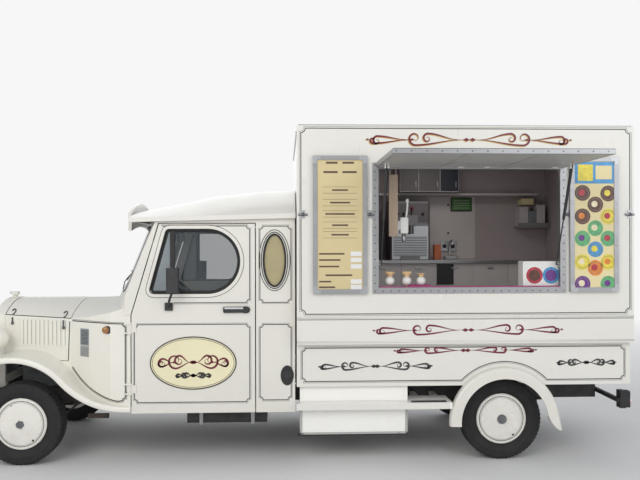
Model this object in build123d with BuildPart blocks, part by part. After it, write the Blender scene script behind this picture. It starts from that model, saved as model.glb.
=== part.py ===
from build123d import *
from math import asin, atan2, cos, degrees, hypot, radians, sin, sqrt, tan
import os

# A vintage-style ice cream truck, in millimetres.
# X runs backwards from the front axle, Y to the right-hand side, Z up from the road.
# The serving hatch is on the left-hand side, at minus Y.

# Running gear
wheelbase = 3700
tyre_radius = 315
tyre_width = 185
wheel_out = 840              # from the centre plane to the outer face of a tyre
rim_radius = 195
rim_seat = 176               # where the tyre's beads sit
rim_width = 142
spindle_radius = 22
hub_radius = 62
drum_radius = 132
kingpin_out = 640
kingpin_radius = 15
running_gap = 0.08           # radial clearance on every shaft and pin
seat_gap = 0.3               # between pieces that rest on each other

# Ladder frame
rail_out = 400               # to the middle of a rail
rail_width = 60
rail_low = 400
rail_high = 520
rail_front = -430
rail_rear = 4600

# Servery body
box_front = 2101
box_rear = 4679
box_half = 1000
box_low = 936
box_high = 2582
wall = 40
floor_top = 740
floor_thickness = 40
skirt_half = 943
skirt_low = 600
skirt_wall = 30

# Serving opening, its frame and its hatch
opening_front = 2712
opening_rear = 4112
opening_low = 1348
opening_high = 2256
frame_border = 40
frame_plate = 8
frame_lining = 6
hatch_length = 925
hatch_thickness = 32

# Cab
cab_half = 915
cab_rear = 2088
cab_low = 406
door_front = 854
door_rear = 1784
door_high = 1838
door_gap = 8
door_thickness = 50
cab_wall = 45
belt_low = 1150              # where the door's front edge starts to lean
screen_lean = 22             # degrees from upright
screen_foot_x = 803
screen_foot_z = 1290
screen_bow = 150             # how far the glass bulges at the middle
screen_half = 860
roof_half = 950
roof_front = 845
roof_lip_front = 1852
roof_lip_rear = 1880
roof_wall = 24

# Bonnet, scuttle and radiator
bonnet_front = -262
scuttle_front = 322
scuttle_rear = 846
bonnet_half_front = 395
bonnet_half_rear = 600
scuttle_half_rear = 913
crown = 1222
split_front = 1112
split_rear = 1097
sheet = 10
panel_gap = 6
shell_half = bonnet_half_front + 6

# Front wing: an arch about one centre, then a reverse curve into the sill
arch_x = -45
arch_z = tyre_radius + 7
arch_radius = tyre_radius + 154
sill_low = 412
sweep_end = 803.4            # where the sweep meets the sill
sweep_rise = sill_low - arch_z
sweep_radius = ((sweep_end - arch_x) ** 2 + sweep_rise**2 - arch_radius**2) / (2 * (arch_radius - sweep_rise))
wing_band = 46
wing_out = 930
wing_in = 380
wing_nose = 162              # degrees round the arch, from the rear, to the wing's front tip
wing_skin = 10
rail_room = 10               # between a wing and the rail that it passes

# Rear wing
rear_arch_x = wheelbase - 15
rear_arch_z = tyre_radius + 3
rear_arch_radius = tyre_radius + 21
rear_band = 86
rear_wing_out = 1000

hub_z = tyre_radius
wheel_middle = wheel_out - tyre_width / 2
upright = Plane.XZ           # its sketches read X across and Z up, and it extrudes to minus Y
cross = Plane.YZ             # its sketches read Y across and Z up, and it extrudes to plus X

pieces = {}


def slab(one, other, mode=Mode.ADD):
    """A plain board between two opposite corners, in the part that is being built."""
    low = [min(pair) for pair in zip(one, other)]
    high = [max(pair) for pair in zip(one, other)]
    with Locations(tuple(low)):
        Box(high[0] - low[0], high[1] - low[1], high[2] - low[2], align=(Align.MIN,) * 3, mode=mode)


def rod(start, end, radius, mode=Mode.ADD):
    """A round bar between two points."""
    run = Vector(end) - Vector(start)
    with BuildSketch(Plane(origin=start, z_dir=run)) as section:
        Circle(radius)
    extrude(section.sketch, amount=run.length, mode=mode)


def prism(points, near, far, mode=Mode.ADD):
    """An outline of X, Z points, extruded from Y = near to Y = far, with far the lower."""
    with BuildSketch(upright.offset(-near)) as section:
        with BuildLine():
            Polyline(*points, close=True)
        make_face()
    extrude(section.sketch, amount=near - far, mode=mode)


# Ladder frame: two channel rails, joined by cross members, with a towing pad at the rear
cross_members = [-380, 960, 1500, 2300, 3150, 4200, 4570]
tow_hole = 8.5
tow_half = 45                # half the distance between the two towing holes
tow_z = 428
jack_x = 1160                # middle of a jack's pad
jack_drop = 8
with BuildPart() as chassis_frame:
    slab(
        (rail_front, -rail_out - rail_width / 2, rail_low),
        (rail_rear, -rail_out + rail_width / 2, rail_high),
    )
    with BuildSketch(cross.offset(rail_front - 1)):
        with Locations((-rail_out + 8, (rail_low + rail_high) / 2)):
            Rectangle(rail_width - 8, rail_high - rail_low - 16)
    extrude(amount=rail_rear - rail_front + 2, mode=Mode.SUBTRACT)
    mirror(about=Plane.XZ)
    for place in cross_members:
        slab((place - 30, -rail_out - 20, rail_low + 12), (place + 30, rail_out + 20, rail_high - 12))
    for side in (-1, 1):
        pad_y = side * rail_out
        slab((jack_x - 40, pad_y - 26, rail_low - jack_drop), (jack_x + 40, pad_y + 26, rail_low + 4))
        rod(
            (cross_members[-1] - 31, side * tow_half, tow_z),
            (rail_rear + 1, side * tow_half, tow_z),
            tow_hole,
            mode=Mode.SUBTRACT,
        )
pieces["chassis_frame"] = chassis_frame


def leaf_spring(axle_x, seat_z, half_length, sag, side):
    """A stack of curved leaves under a rail, with its two hangers."""
    spring_out = side * rail_out
    for count in range(3):
        reach = half_length - 110 * count
        drop = count * 10
        with BuildSketch(upright.offset(-spring_out - 28)) as leaf:
            with BuildLine():
                rise = sag * (reach / half_length) ** 2
                upper = ThreePointArc(
                    (axle_x - reach, seat_z + rise + 30 - drop),
                    (axle_x, seat_z + 30 - drop),
                    (axle_x + reach, seat_z + rise + 30 - drop),
                )
                lower = ThreePointArc(
                    (axle_x - reach, seat_z + rise + 20 - drop),
                    (axle_x, seat_z + 20 - drop),
                    (axle_x + reach, seat_z + rise + 20 - drop),
                )
                Line(upper @ 0, lower @ 0)
                Line(upper @ 1, lower @ 1)
            make_face()
        extrude(leaf.sketch, amount=56)
    slab((axle_x - 60, spring_out - 32, seat_z - 6), (axle_x + 60, spring_out + 32, seat_z + 34))
    for end in (-1, 1):
        place = axle_x + end * (half_length - 12)
        slab((place - 22, spring_out - 28, seat_z + sag + 18), (place + 22, spring_out + 28, rail_low))


# Front axle: a beam with an eye at each end for the kingpin, and its springs
beam_half = 30
with BuildPart() as front_axle:
    slab((-28, -kingpin_out, hub_z - beam_half), (28, kingpin_out, hub_z + beam_half))
    for side in (-1, 1):
        rod((0, side * kingpin_out, hub_z - beam_half), (0, side * kingpin_out, hub_z + beam_half), 32)
    for side in (-1, 1):
        rod(
            (0, side * kingpin_out, hub_z - beam_half - 1),
            (0, side * kingpin_out, hub_z + beam_half + 1),
            kingpin_radius + running_gap,
            mode=Mode.SUBTRACT,
        )
        leaf_spring(0, hub_z + beam_half, 330, 20, side)
pieces["front_axle"] = front_axle

# Rear axle: tube, round casing, spindles, springs and the shaft that drives it
axle_tube = 45
spindle_end = wheel_middle + 46
shaft_front = 901
shaft_front_z = 380
with BuildPart() as rear_axle:
    rod((wheelbase, -690, hub_z), (wheelbase, 690, hub_z), axle_tube)
    with Locations((wheelbase, 0, hub_z)):
        Sphere(140)
    rod((wheelbase, -spindle_end, hub_z), (wheelbase, spindle_end, hub_z), spindle_radius)
    rod((shaft_front, 0, shaft_front_z), (wheelbase, 0, hub_z + 10), 28)
    for side in (-1, 1):
        leaf_spring(wheelbase, hub_z + axle_tube - 6, 520, 10, side)
pieces["rear_axle"] = rear_axle

# Steering knuckles: a yoke with its kingpin, a stub axle and a steering arm
yoke_out = 30
arm_reach = 150
arm_low = hub_z - beam_half - 30
with BuildPart() as knuckle_left:
    rod((0, -kingpin_out, arm_low), (0, -kingpin_out, hub_z + beam_half + 30), kingpin_radius)
    for low in (hub_z - beam_half - 30, hub_z + beam_half + 0.5):
        high = low + 29.5
        rod((0, -kingpin_out, low), (0, -kingpin_out, high), yoke_out)
        slab((-yoke_out, -kingpin_out - 62, low), (yoke_out, -kingpin_out, high))
    slab((-yoke_out, -kingpin_out - 62, arm_low), (yoke_out, -kingpin_out - 38, hub_z + beam_half + 30))
    rod((0, -kingpin_out - 50, hub_z), (0, -spindle_end, hub_z), spindle_radius)
    slab((0, -kingpin_out - 14, arm_low), (arm_reach, -kingpin_out + 14, arm_low + 20))
    rod((arm_reach, -kingpin_out, arm_low), (arm_reach, -kingpin_out, arm_low + 20), 18)
    rod((arm_reach, -kingpin_out, arm_low - 20), (arm_reach, -kingpin_out, arm_low + 20), 8)
pieces["knuckle_left"] = knuckle_left
with BuildPart() as knuckle_right:
    mirror(knuckle_left.part, about=Plane.XZ)
pieces["knuckle_right"] = knuckle_right

# Track rod between the two steering arms
with BuildPart() as tie_rod:
    rod((arm_reach, -kingpin_out, arm_low - 10), (arm_reach, kingpin_out, arm_low - 10), 9)
    for side in (-1, 1):
        arm_y = side * kingpin_out
        rod((arm_reach, arm_y, arm_low - 19.7), (arm_reach, arm_y, arm_low - 0.3), 14)
    for side in (-1, 1):
        rod(
            (arm_reach, side * kingpin_out, arm_low - 21),
            (arm_reach, side * kingpin_out, arm_low + 1),
            8 + running_gap,
            mode=Mode.SUBTRACT,
        )
pieces["tie_rod"] = tie_rod


# Wheels: rim, brake drum, hub and a domed trim with a small cap; tyres with a rounded tread
def wheel_profile(side):
    """Half the wheel's section: Y along the axle, Z out from it, to be turned about the axle."""
    inner = wheel_middle - rim_width / 2
    outer = wheel_middle + rim_width / 2
    bore = spindle_radius + running_gap
    drum_in = kingpin_out + 64
    points = [
        (drum_in, bore),
        (drum_in, drum_radius),
        (drum_in + 62, drum_radius),
        (drum_in + 62, hub_radius),
        (outer - 26, hub_radius),
        (outer - 26, rim_seat - 26),
        (outer - 60, rim_seat - 8),
        (inner, rim_seat - 8),
        (inner, rim_radius),
        (inner + 8, rim_radius),
        (inner + 8, rim_seat),
        (outer - 8, rim_seat),
        (outer - 8, rim_radius),
        (outer, rim_radius),
        (outer + 2, rim_radius - 12),
    ]
    with BuildLine() as outline:
        Polyline(*[(side * along, out) for along, out in points])
        dome = ThreePointArc(
            (side * (outer + 2), rim_radius - 12), (side * (outer + 15), 100), (side * (outer + 20), 30)
        )
        Polyline(
            dome @ 1,
            (side * (outer + 30), 26),
            (side * (outer + 34), 10),
            (side * (outer + 34), 0),
            (side * (outer - 14), 0),
            (side * (outer - 14), bore),
            (side * drum_in, bore),
        )
    make_face(outline.edges())


def tyre_profile(side):
    """Half the tyre's section, with round shoulders and bulged walls."""
    half = tyre_width / 2
    bead = rim_width / 2 - 8 - seat_gap
    middle = side * wheel_middle
    shoulder = 22
    with BuildLine() as outline:
        Line((middle - half + 14, tyre_radius - 5), (middle - half + 14 + shoulder, tyre_radius))
        Line((middle - half + 14 + shoulder, tyre_radius), (middle + half - 14 - shoulder, tyre_radius))
        Line((middle + half - 14 - shoulder, tyre_radius), (middle + half - 14, tyre_radius - 5))
        ThreePointArc(
            (middle + half - 14, tyre_radius - 5),
            (middle + half, 252),
            (middle + bead, rim_radius + 3),
        )
        Line((middle + bead, rim_radius + 3), (middle + bead, rim_seat + seat_gap))
        Line((middle + bead, rim_seat + seat_gap), (middle + bead - 20, rim_seat + seat_gap))
        ThreePointArc(
            (middle + bead - 20, rim_seat + seat_gap),
            (middle, 292),
            (middle - bead + 20, rim_seat + seat_gap),
        )
        Line((middle - bead + 20, rim_seat + seat_gap), (middle - bead, rim_seat + seat_gap))
        Line((middle - bead, rim_seat + seat_gap), (middle - bead, rim_radius + 3))
        ThreePointArc(
            (middle - bead, rim_radius + 3),
            (middle - half, 252),
            (middle - half + 14, tyre_radius - 5),
        )
    make_face(outline.edges())


wheel_places = {
    "front_left": (0, -1),
    "front_right": (0, 1),
    "rear_left": (wheelbase, -1),
    "rear_right": (wheelbase, 1),
}
for name, (axle_x, side) in wheel_places.items():
    axle = Plane(origin=(axle_x, 0, hub_z), x_dir=(0, 1, 0), z_dir=(1, 0, 0))
    spin = Axis((axle_x, 0, hub_z), (0, 1, 0))
    with BuildPart() as wheel:
        with BuildSketch(axle):
            wheel_profile(side)
        revolve(axis=spin)
        # The hole that the tyre valve is reached through
        rod(
            (axle_x + 92, side * (wheel_middle + 40), hub_z - 126),
            (axle_x + 92, side * (wheel_out + 40), hub_z - 126),
            9,
            mode=Mode.SUBTRACT,
        )
    pieces["wheel_" + name] = wheel
    with BuildPart() as tyre:
        with BuildSketch(axle):
            tyre_profile(side)
        revolve(axis=spin)
    pieces["tyre_" + name] = tyre

# Engine and gearbox, one plain block with the gearbox behind it
with BuildPart() as engine_block:
    slab((-180, -210, 400), (380, 210, 1000))
    slab((380, -120, 330), (900, 120, 515))
    for side in (-1, 1):
        slab((60, side * 208, 460), (140, side * (rail_out + 18 - seat_gap), 500))
pieces["engine_block"] = engine_block

# Exhaust: pipe and silencer on the right, under the cab
exhaust_y = 250
exhaust_z = 330
with BuildPart() as exhaust:
    rod((150, exhaust_y, 396), (900, exhaust_y, exhaust_z), 24)
    rod((895, exhaust_y, exhaust_z), (1300, exhaust_y, exhaust_z), 24)
    rod((1300, exhaust_y, exhaust_z), (1900, exhaust_y, exhaust_z), 78)
    rod((1900, exhaust_y, exhaust_z), (3250, exhaust_y, exhaust_z), 24)
    slab((1485, exhaust_y - 10, exhaust_z + 70), (1515, exhaust_y + 10, rail_low + 12 - seat_gap))
pieces["exhaust"] = exhaust

# Fuel tank hung outside the left rail
tank_front = 1250
tank_rear = 1870
tank_wall = 5
with BuildPart() as fuel_tank:
    for shrink, mode in ((0, Mode.ADD), (tank_wall, Mode.SUBTRACT)):
        with BuildSketch(cross.offset(tank_front + shrink)):
            with Locations((-600, 400)):
                RectangleRounded(300 - 2 * shrink, 230 - 2 * shrink, 45 - shrink)
        extrude(amount=tank_rear - tank_front - 2 * shrink, mode=mode)
    for place in (1350, 1730):
        slab((place, -452, 440), (place + 50, -rail_out - rail_width / 2 - seat_gap, 500))
pieces["fuel_tank"] = fuel_tank


# Front wings
def tangent_angle():
    """Angle of the line from the arch's centre to the centre of the reverse curve."""
    return degrees(atan2(sill_low + sweep_radius - arch_z, sweep_x - arch_x))


sweep_z = sill_low + sweep_radius
sweep_x = arch_x + sqrt((arch_radius + sweep_radius) ** 2 - (sweep_z - arch_z) ** 2)
turn = tangent_angle()


def wing_curve(offset, rear):
    """The wing's edge line, moved outwards by an offset; gives its two ends."""
    first = CenterArc((arch_x, arch_z), arch_radius + offset, wing_nose, turn - wing_nose)
    second = CenterArc((sweep_x, sweep_z), sweep_radius - offset, 180 + turn, 90 - turn)
    Line(second @ 1, (rear, sill_low + offset))
    return first @ 0, (rear, sill_low + offset)


def wing_region(low, high, rear):
    """The band between two offsets of the wing's edge line."""
    with BuildLine() as outline:
        front_low, rear_low = wing_curve(low, rear)
        front_high, rear_high = wing_curve(high, rear)
        Line(front_low, front_high)
        Line(rear_low, rear_high)
    make_face(outline.edges())


with BuildPart() as front_wings:
    with BuildSketch(upright.offset(wing_in)):
        wing_region(0, wing_band, scuttle_rear)
    extrude(amount=wing_out - wing_in)
    outer_edges = front_wings.faces().sort_by(Axis.Y)[0].edges().filter_by(lambda edge: edge.length > 120)
    fillet(outer_edges, 16)
    with BuildSketch(upright.offset(wing_in - 1)):
        wing_region(-30, wing_band - wing_skin, scuttle_rear + 5)
    extrude(amount=wing_out - wing_in + 1 - wing_skin, mode=Mode.SUBTRACT)
    rail_side = rail_out + rail_width / 2 + rail_room
    slab((300, -rail_side, 380), (900, -wing_in + 5, 620), mode=Mode.SUBTRACT)
    slab((-620, -rail_side, 380), (-400, -wing_in + 5, 620), mode=Mode.SUBTRACT)
    # Room for the radiator shell
    slab((-620, -shell_half - seat_gap, 380), (bonnet_front + seat_gap, 0, 900), mode=Mode.SUBTRACT)
    mirror(about=Plane.XZ)
pieces["front_wings"] = front_wings


# Bonnet: two curved halves hinged along the middle, between the radiator and the scuttle
def crown_arc(half, top, edge_height):
    """A single arc over the bonnet, from the left edge to the right edge."""
    return ThreePointArc((-half, edge_height), (0, top), (half, edge_height))


def arched_solid(sections, drop):
    """Loft of arched sections (X, half width, crown, edge height, base), all moved in by drop."""
    ends = []
    for place, half, top, edge_height, base in sections:
        base = base - 20 if drop else base
        with BuildSketch(cross.offset(place)) as end:
            with BuildLine():
                arc = crown_arc(half - drop, top - drop, edge_height - drop * 0.6)
                Line(arc @ 0, (-half + drop, base))
                Line((-half + drop, base), (half - drop, base))
                Line((half - drop, base), arc @ 1)
            make_face()
        ends.append(end.sketch)
    loft(ends, ruled=True)


bonnet_sections = [
    (bonnet_front + panel_gap, bonnet_half_front, crown, split_front, 900),
    (scuttle_front - panel_gap, bonnet_half_rear, crown, split_rear, 900),
]
hinge_rod = 4
knuckle_radius = 7
knuckle_length = 50
knuckle_pitch = 140
knuckle_count = 4
with BuildPart() as bonnet_shell:
    arched_solid(bonnet_sections, 0)
with BuildPart() as bonnet_core:
    arched_solid(bonnet_sections, sheet)
for side, name in ((-1, "bonnet_left"), (1, "bonnet_right")):
    with BuildPart() as half_bonnet:
        add(bonnet_shell.part)
        add(bonnet_core.part, mode=Mode.SUBTRACT)
        # What lies under the split line is the louvred side, not the lid
        prism(
            [
                (bonnet_front - 50, 800),
                (scuttle_front + 50, 800),
                (scuttle_front + 50, split_rear + panel_gap / 2),
                (scuttle_front, split_rear + panel_gap / 2),
                (bonnet_front, split_front + panel_gap / 2),
                (bonnet_front - 50, split_front + panel_gap / 2),
            ],
            bonnet_half_rear + 50,
            -bonnet_half_rear - 50,
            mode=Mode.SUBTRACT,
        )
        cut_low = -10 if side < 0 else -bonnet_half_rear - 50
        cut_high = bonnet_half_rear + 50 if side < 0 else 10
        slab((bonnet_front - 50, cut_low, 700), (scuttle_front + 50, cut_high, 1400), mode=Mode.SUBTRACT)
        for count in range(knuckle_count):
            start = bonnet_front + panel_gap + 20 + count * knuckle_pitch + (0 if side < 0 else 62)
            rod((start, 0, crown), (start + knuckle_length, 0, crown), knuckle_radius)
            slab((start, side * 16, crown - 6), (start + knuckle_length, 0, crown - 0.5))
        rod(
            (bonnet_front, 0, crown), (scuttle_front, 0, crown), hinge_rod + running_gap, mode=Mode.SUBTRACT
        )
    pieces[name] = half_bonnet

# Louvred sides under the lids, standing on the wings
louvre_count = 11
louvre_pitch = 37
louvre_first = -115
side_low = 620
side_front = bonnet_front + seat_gap
side_rear = scuttle_front - seat_gap
with BuildPart() as bonnet_sides:
    with BuildSketch(Plane.XY.offset(side_low)):
        with BuildLine():
            Polyline(
                (side_front, -bonnet_half_front),
                (side_rear, -bonnet_half_rear),
                (side_rear, -bonnet_half_rear + sheet),
                (side_front, -bonnet_half_front + sheet),
                close=True,
            )
        make_face()
    extrude(amount=split_rear - side_low + 20)
    prism(
        [
            (bonnet_front - 50, split_front - panel_gap / 2),
            (bonnet_front, split_front - panel_gap / 2),
            (scuttle_front, split_rear - panel_gap / 2),
            (scuttle_front + 50, split_rear - panel_gap / 2),
            (scuttle_front + 50, 1400),
            (bonnet_front - 50, 1400),
        ],
        0,
        -bonnet_half_rear - 50,
        mode=Mode.SUBTRACT,
    )
    # Raised louvres, each a half-round rib that leans back
    for count in range(louvre_count):
        along = louvre_first + count * louvre_pitch
        share = (along - bonnet_front) / (scuttle_front - bonnet_front)
        out = bonnet_half_front + share * (bonnet_half_rear - bonnet_half_front)
        with BuildSketch(Plane(origin=(along, -out, 868), x_dir=(1, 0, 0), z_dir=(0, 0, 1))):
            with BuildLine():
                Line((-10, 4), (14, -5))
                ThreePointArc((14, -5), (6, -11), (-10, 4))
            make_face()
        extrude(amount=215)
    # The wing's crown cuts the foot of the panel to its curve
    with BuildSketch(upright):
        with BuildLine():
            nose, tail = wing_curve(wing_band + seat_gap, 900)
            Line(nose, (nose.X, 0))
            Line((nose.X, 0), (900, 0))
            Line((900, 0), tail)
        make_face()
    extrude(amount=1100, mode=Mode.SUBTRACT)
    mirror(about=Plane.XZ)
pieces["bonnet_sides"] = bonnet_sides

# Radiator shell: an arched surround with an open front, the cap, and the bonnet's hinge rod
shell_depth = 90
shell_front = bonnet_front - shell_depth
shell_low = 560
shell_rim = 34


def shell_outline(inset, low):
    """Arched outline of the radiator shell in Y and Z."""
    half = shell_half - inset
    with BuildLine() as outline:
        arc = ThreePointArc((-half, split_front), (0, crown + 8 - inset), (half, split_front))
        Line(arc @ 0, (-half, low))
        Line((-half, low), (half, low))
        Line((half, low), arc @ 1)
    make_face(outline.edges())


with BuildPart() as radiator_shell:
    with BuildSketch(cross.offset(shell_front)):
        shell_outline(0, shell_low)
    extrude(amount=shell_depth)
    shell_edges = radiator_shell.faces().sort_by(Axis.X)[0].edges()
    fillet(shell_edges, 14)
    with BuildSketch(cross.offset(shell_front - 1)):
        shell_outline(shell_rim, shell_low + 60)
    extrude(amount=shell_depth + 2, mode=Mode.SUBTRACT)
    # Filler neck and cap
    with BuildSketch(Plane.XY.offset(crown - 20)):
        with Locations((shell_front + 42, 0)):
            Circle(20)
    extrude(amount=46)
    with BuildSketch(Plane.XY.offset(crown + 26)):
        with Locations((shell_front + 42, 0)):
            RegularPolygon(38, 8)
    extrude(amount=26)
    rod((bonnet_front - 4, 0, crown), (scuttle_front - seat_gap, 0, crown), hinge_rod)
    # Feet on the two rails
    for side in (-1, 1):
        slab(
            (shell_front + 20, side * 360 - 30, rail_high), (bonnet_front, side * 360 + 30, shell_low + 20)
        )
pieces["radiator_shell"] = radiator_shell

# Grille: slim upright bars over the radiator core
bar_count = 19
core_depth = 40
with BuildPart() as radiator_grille:
    with BuildSketch(cross.offset(bonnet_front - core_depth - 4)):
        shell_outline(shell_rim + seat_gap, shell_low + 60 + seat_gap)
    extrude(amount=core_depth)
    for count in range(bar_count):
        place = (count - (bar_count - 1) / 2) * 36
        height = crown + 8 - shell_rim - 8
        drop = (crown - split_front) * (place / bonnet_half_front) ** 2
        rod(
            (bonnet_front - core_depth - 12, place, shell_low + 66),
            (bonnet_front - core_depth - 12, place, height - drop - 6),
            6,
        )
        slab(
            (bonnet_front - core_depth - 12, place - 3, shell_low + 80),
            (bonnet_front - core_depth - 2, place + 3, shell_low + 110),
        )
        slab(
            (bonnet_front - core_depth - 12, place - 3, height - drop - 50),
            (bonnet_front - core_depth - 2, place + 3, height - drop - 24),
        )
pieces["radiator_grille"] = radiator_grille

# Front bumper on two irons
bumper_x = -600
with BuildPart() as front_bumper:
    with BuildSketch(Plane.XY.offset(420)):
        with BuildLine():
            outer = ThreePointArc((bumper_x + 20, -880), (bumper_x - 30, 0), (bumper_x + 20, 880))
            inner = ThreePointArc((bumper_x + 34, -876), (bumper_x - 16, 0), (bumper_x + 34, 876))
            Line(outer @ 0, inner @ 0)
            Line(outer @ 1, inner @ 1)
        make_face()
    extrude(amount=110)
    for side in (-1, 1):
        slab(
            (bumper_x - 8, side * (rail_out + 12), 450),
            (rail_front - seat_gap, side * (rail_out + 32), 490),
        )
pieces["front_bumper"] = front_bumper

# Headlamps: deep bowls, each on a post from the wing's crown, with the lenses apart
lamp_y = 540
lamp_z = 936
lamp_front = -330
lamp_radius = 105
post_x = lamp_front + 55
post_radius = 14
post_low = arch_z + sqrt((arch_radius + wing_band) ** 2 - (post_x + post_radius - arch_x) ** 2) + seat_gap
with BuildPart() as headlamps:
    for side in (-1, 1):
        turn_axis = Axis((lamp_front, side * lamp_y, lamp_z), (1, 0, 0))
        lamp_plane = Plane(origin=(lamp_front, side * lamp_y, lamp_z), x_dir=(1, 0, 0), z_dir=(0, -1, 0))
        with BuildSketch(lamp_plane):
            with BuildLine():
                Line((0, 0), (0, lamp_radius - 12))
                Line((0, lamp_radius - 12), (0, lamp_radius))
                Line((0, lamp_radius), (22, lamp_radius))
                ThreePointArc((22, lamp_radius), (105, 72), (150, 0))
                Line((150, 0), (0, 0))
            make_face()
        revolve(axis=turn_axis)
        lamp_centre = Vector(lamp_front, side * lamp_y, lamp_z)
        rod(lamp_centre - (1, 0, 0), lamp_centre + (10, 0, 0), 94, Mode.SUBTRACT)
        rod((post_x, side * lamp_y, post_low), (post_x, side * lamp_y, lamp_z - 60), post_radius)
pieces["headlamps"] = headlamps
lens_radius = 93.7
lens_bulge = 18
lens_sphere = (lens_radius**2 + lens_bulge**2) / (2 * lens_bulge)
half_turn = asin(lens_radius / lens_sphere) / 2
with BuildPart() as headlamp_lenses:
    for side in (-1, 1):
        turn_axis = Axis((lamp_front, side * lamp_y, lamp_z), (1, 0, 0))
        lamp_plane = Plane(origin=(lamp_front, side * lamp_y, lamp_z), x_dir=(1, 0, 0), z_dir=(0, -1, 0))
        with BuildSketch(lamp_plane):
            with BuildLine():
                Line((9.7, 0), (9.7, lens_radius))
                Line((9.7, lens_radius), (0, lens_radius))
                middle = (
                    lens_sphere - lens_bulge - lens_sphere * cos(half_turn),
                    lens_sphere * sin(half_turn),
                )
                ThreePointArc((0, lens_radius), middle, (-lens_bulge, 0))
                Line((-lens_bulge, 0), (9.7, 0))
            make_face()
        revolve(axis=turn_axis)
pieces["headlamp_lenses"] = headlamp_lenses

# Windscreen: a bowed section, drawn square to the rake and extruded up it
rake = radians(screen_lean)
rake_plane = Plane(origin=(screen_foot_x, 0, screen_foot_z), x_dir=(0, 1, 0), z_dir=(sin(rake), 0, cos(rake)))
glass_normal = (-cos(rake), 0, sin(rake))
glass_plane = Plane(origin=(screen_foot_x, 0, screen_foot_z), x_dir=(0, 1, 0), z_dir=glass_normal)
screen_low = (belt_low - screen_foot_z) / cos(rake)
screen_high = (roof_lip_front + 20 - screen_foot_z) / cos(rake)
screen_wall = 40
glass_half = 765
glass_low = 12
glass_high = 572
glass_corner = 60
glass_depth = 12             # from the frame's outer face back to the glass
glass_thickness = 6


def bowed_bar(front, back, low, high, mode=Mode.ADD):
    """A bar as wide as the cab, bowed forwards in plan, between two depths and two heights up the rake."""
    with BuildSketch(rake_plane.offset(low)) as section:
        with BuildLine():
            outer = ThreePointArc((-screen_half, -front), (0, screen_bow - front), (screen_half, -front))
            inner = ThreePointArc((-screen_half, -back), (0, screen_bow - back), (screen_half, -back))
            Line(outer @ 0, inner @ 0)
            Line(outer @ 1, inner @ 1)
        make_face()
    extrude(section.sketch, amount=high - low, mode=mode)


def screen_window(inset, mode):
    """The windscreen's rounded opening, right through the bow."""
    with BuildSketch(glass_plane.offset(-150)) as section:
        with Locations((0, -(glass_low + glass_high) / 2)):
            opening_rise = glass_high - glass_low - 2 * inset
            RectangleRounded(2 * (glass_half - inset), opening_rise, glass_corner - inset)
    extrude(section.sketch, amount=300, mode=mode)


with BuildPart() as windscreen:
    bowed_bar(glass_depth, glass_depth + glass_thickness, glass_low, glass_high)
    screen_window(seat_gap, Mode.INTERSECT)
pieces["windscreen"] = windscreen


def roof_plane(place):
    """Height of the roof's underside at a given X."""
    return roof_lip_front + (place - roof_front) * (roof_lip_rear - roof_lip_front) / (cab_rear - roof_front)


def screen_x(height):
    """X of the screen's outer face, at the sides, at a given height."""
    return screen_foot_x + (height - screen_foot_z) * tan(rake)


# Scuttle: the tapered box between the bonnet and the doors
scuttle_sections = [
    (scuttle_front, bonnet_half_rear, crown, split_rear, 380),
    (500, 735, crown, 1122, 380),
    (680, 850, crown + 14, 1162, 380),
    (scuttle_rear, scuttle_half_rear, crown + 50, 1215, 380),
]
pillar_in = 855
pillar_foot = [
    (screen_foot_x - seat_gap, belt_low - seat_gap),
    (screen_foot_x - seat_gap, screen_foot_z + 60),
    (scuttle_rear + 60, screen_foot_z + 60),
    (scuttle_rear + 60, belt_low - seat_gap),
]
door_barrel = 6
door_pin = 3
hinge_x = (scuttle_rear + door_front) / 2
hinge_y = cab_half + door_barrel + seat_gap
hinge_heights = [560, 1020]
hinge_length = 60
with BuildPart() as scuttle_core:
    arched_solid(scuttle_sections, 14)
with BuildPart() as scuttle:
    arched_solid(scuttle_sections, 0)
    add(scuttle_core.part, mode=Mode.SUBTRACT)
    with BuildSketch(upright.offset(-1100)):
        with BuildLine():
            nose, tail = wing_curve(wing_band + seat_gap, 900)
            Line(nose, (nose.X, 0))
            Line((nose.X, 0), (900, 0))
            Line((900, 0), tail)
        make_face()
    extrude(amount=2200, mode=Mode.SUBTRACT)
    bowed_bar(-seat_gap, 260, screen_low - seat_gap, 300, mode=Mode.SUBTRACT)
    prism(pillar_foot, 1000, -1000, mode=Mode.SUBTRACT)
    # Fixed pins of the door hinges, with their lugs
    for side in (-1, 1):
        pin_y = side * hinge_y
        for height in hinge_heights:
            rod((hinge_x, pin_y, height - 12), (hinge_x, pin_y, height + hinge_length + 12), door_pin)
            for low in (height - 12, height + hinge_length + 1):
                rod((hinge_x, pin_y, low), (hinge_x, pin_y, low + 11), door_barrel)
                slab((hinge_x - 46, pin_y, low), (hinge_x, side * (scuttle_half_rear - 10), low + 11))
pieces["scuttle"] = scuttle

# Cab shell: quarter panels, rear wall, cant rails, screen pillars, header and sills
door_top_x = door_front + (door_high - belt_low) * 0.302
quarter_front = door_rear + door_gap
quarter_glass_x = 1933
quarter_glass_z = 1560
quarter_glass_half = (88, 202)       # half width and half height of the oval glass
quarter_ring = 20
sill_out = cab_half - door_thickness - door_gap
sill_in = 800
sill_high = 560
pillar_depth = 30


def quarter_oval(grow, near, far, mode=Mode.ADD):
    """The oval of the quarter window, grown all round, between two distances from the centre."""
    with BuildSketch(upright.offset(near)) as section:
        with Locations((quarter_glass_x, quarter_glass_z)):
            Ellipse(quarter_glass_half[0] + grow, quarter_glass_half[1] + grow)
    extrude(section.sketch, amount=far - near, mode=mode)


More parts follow.
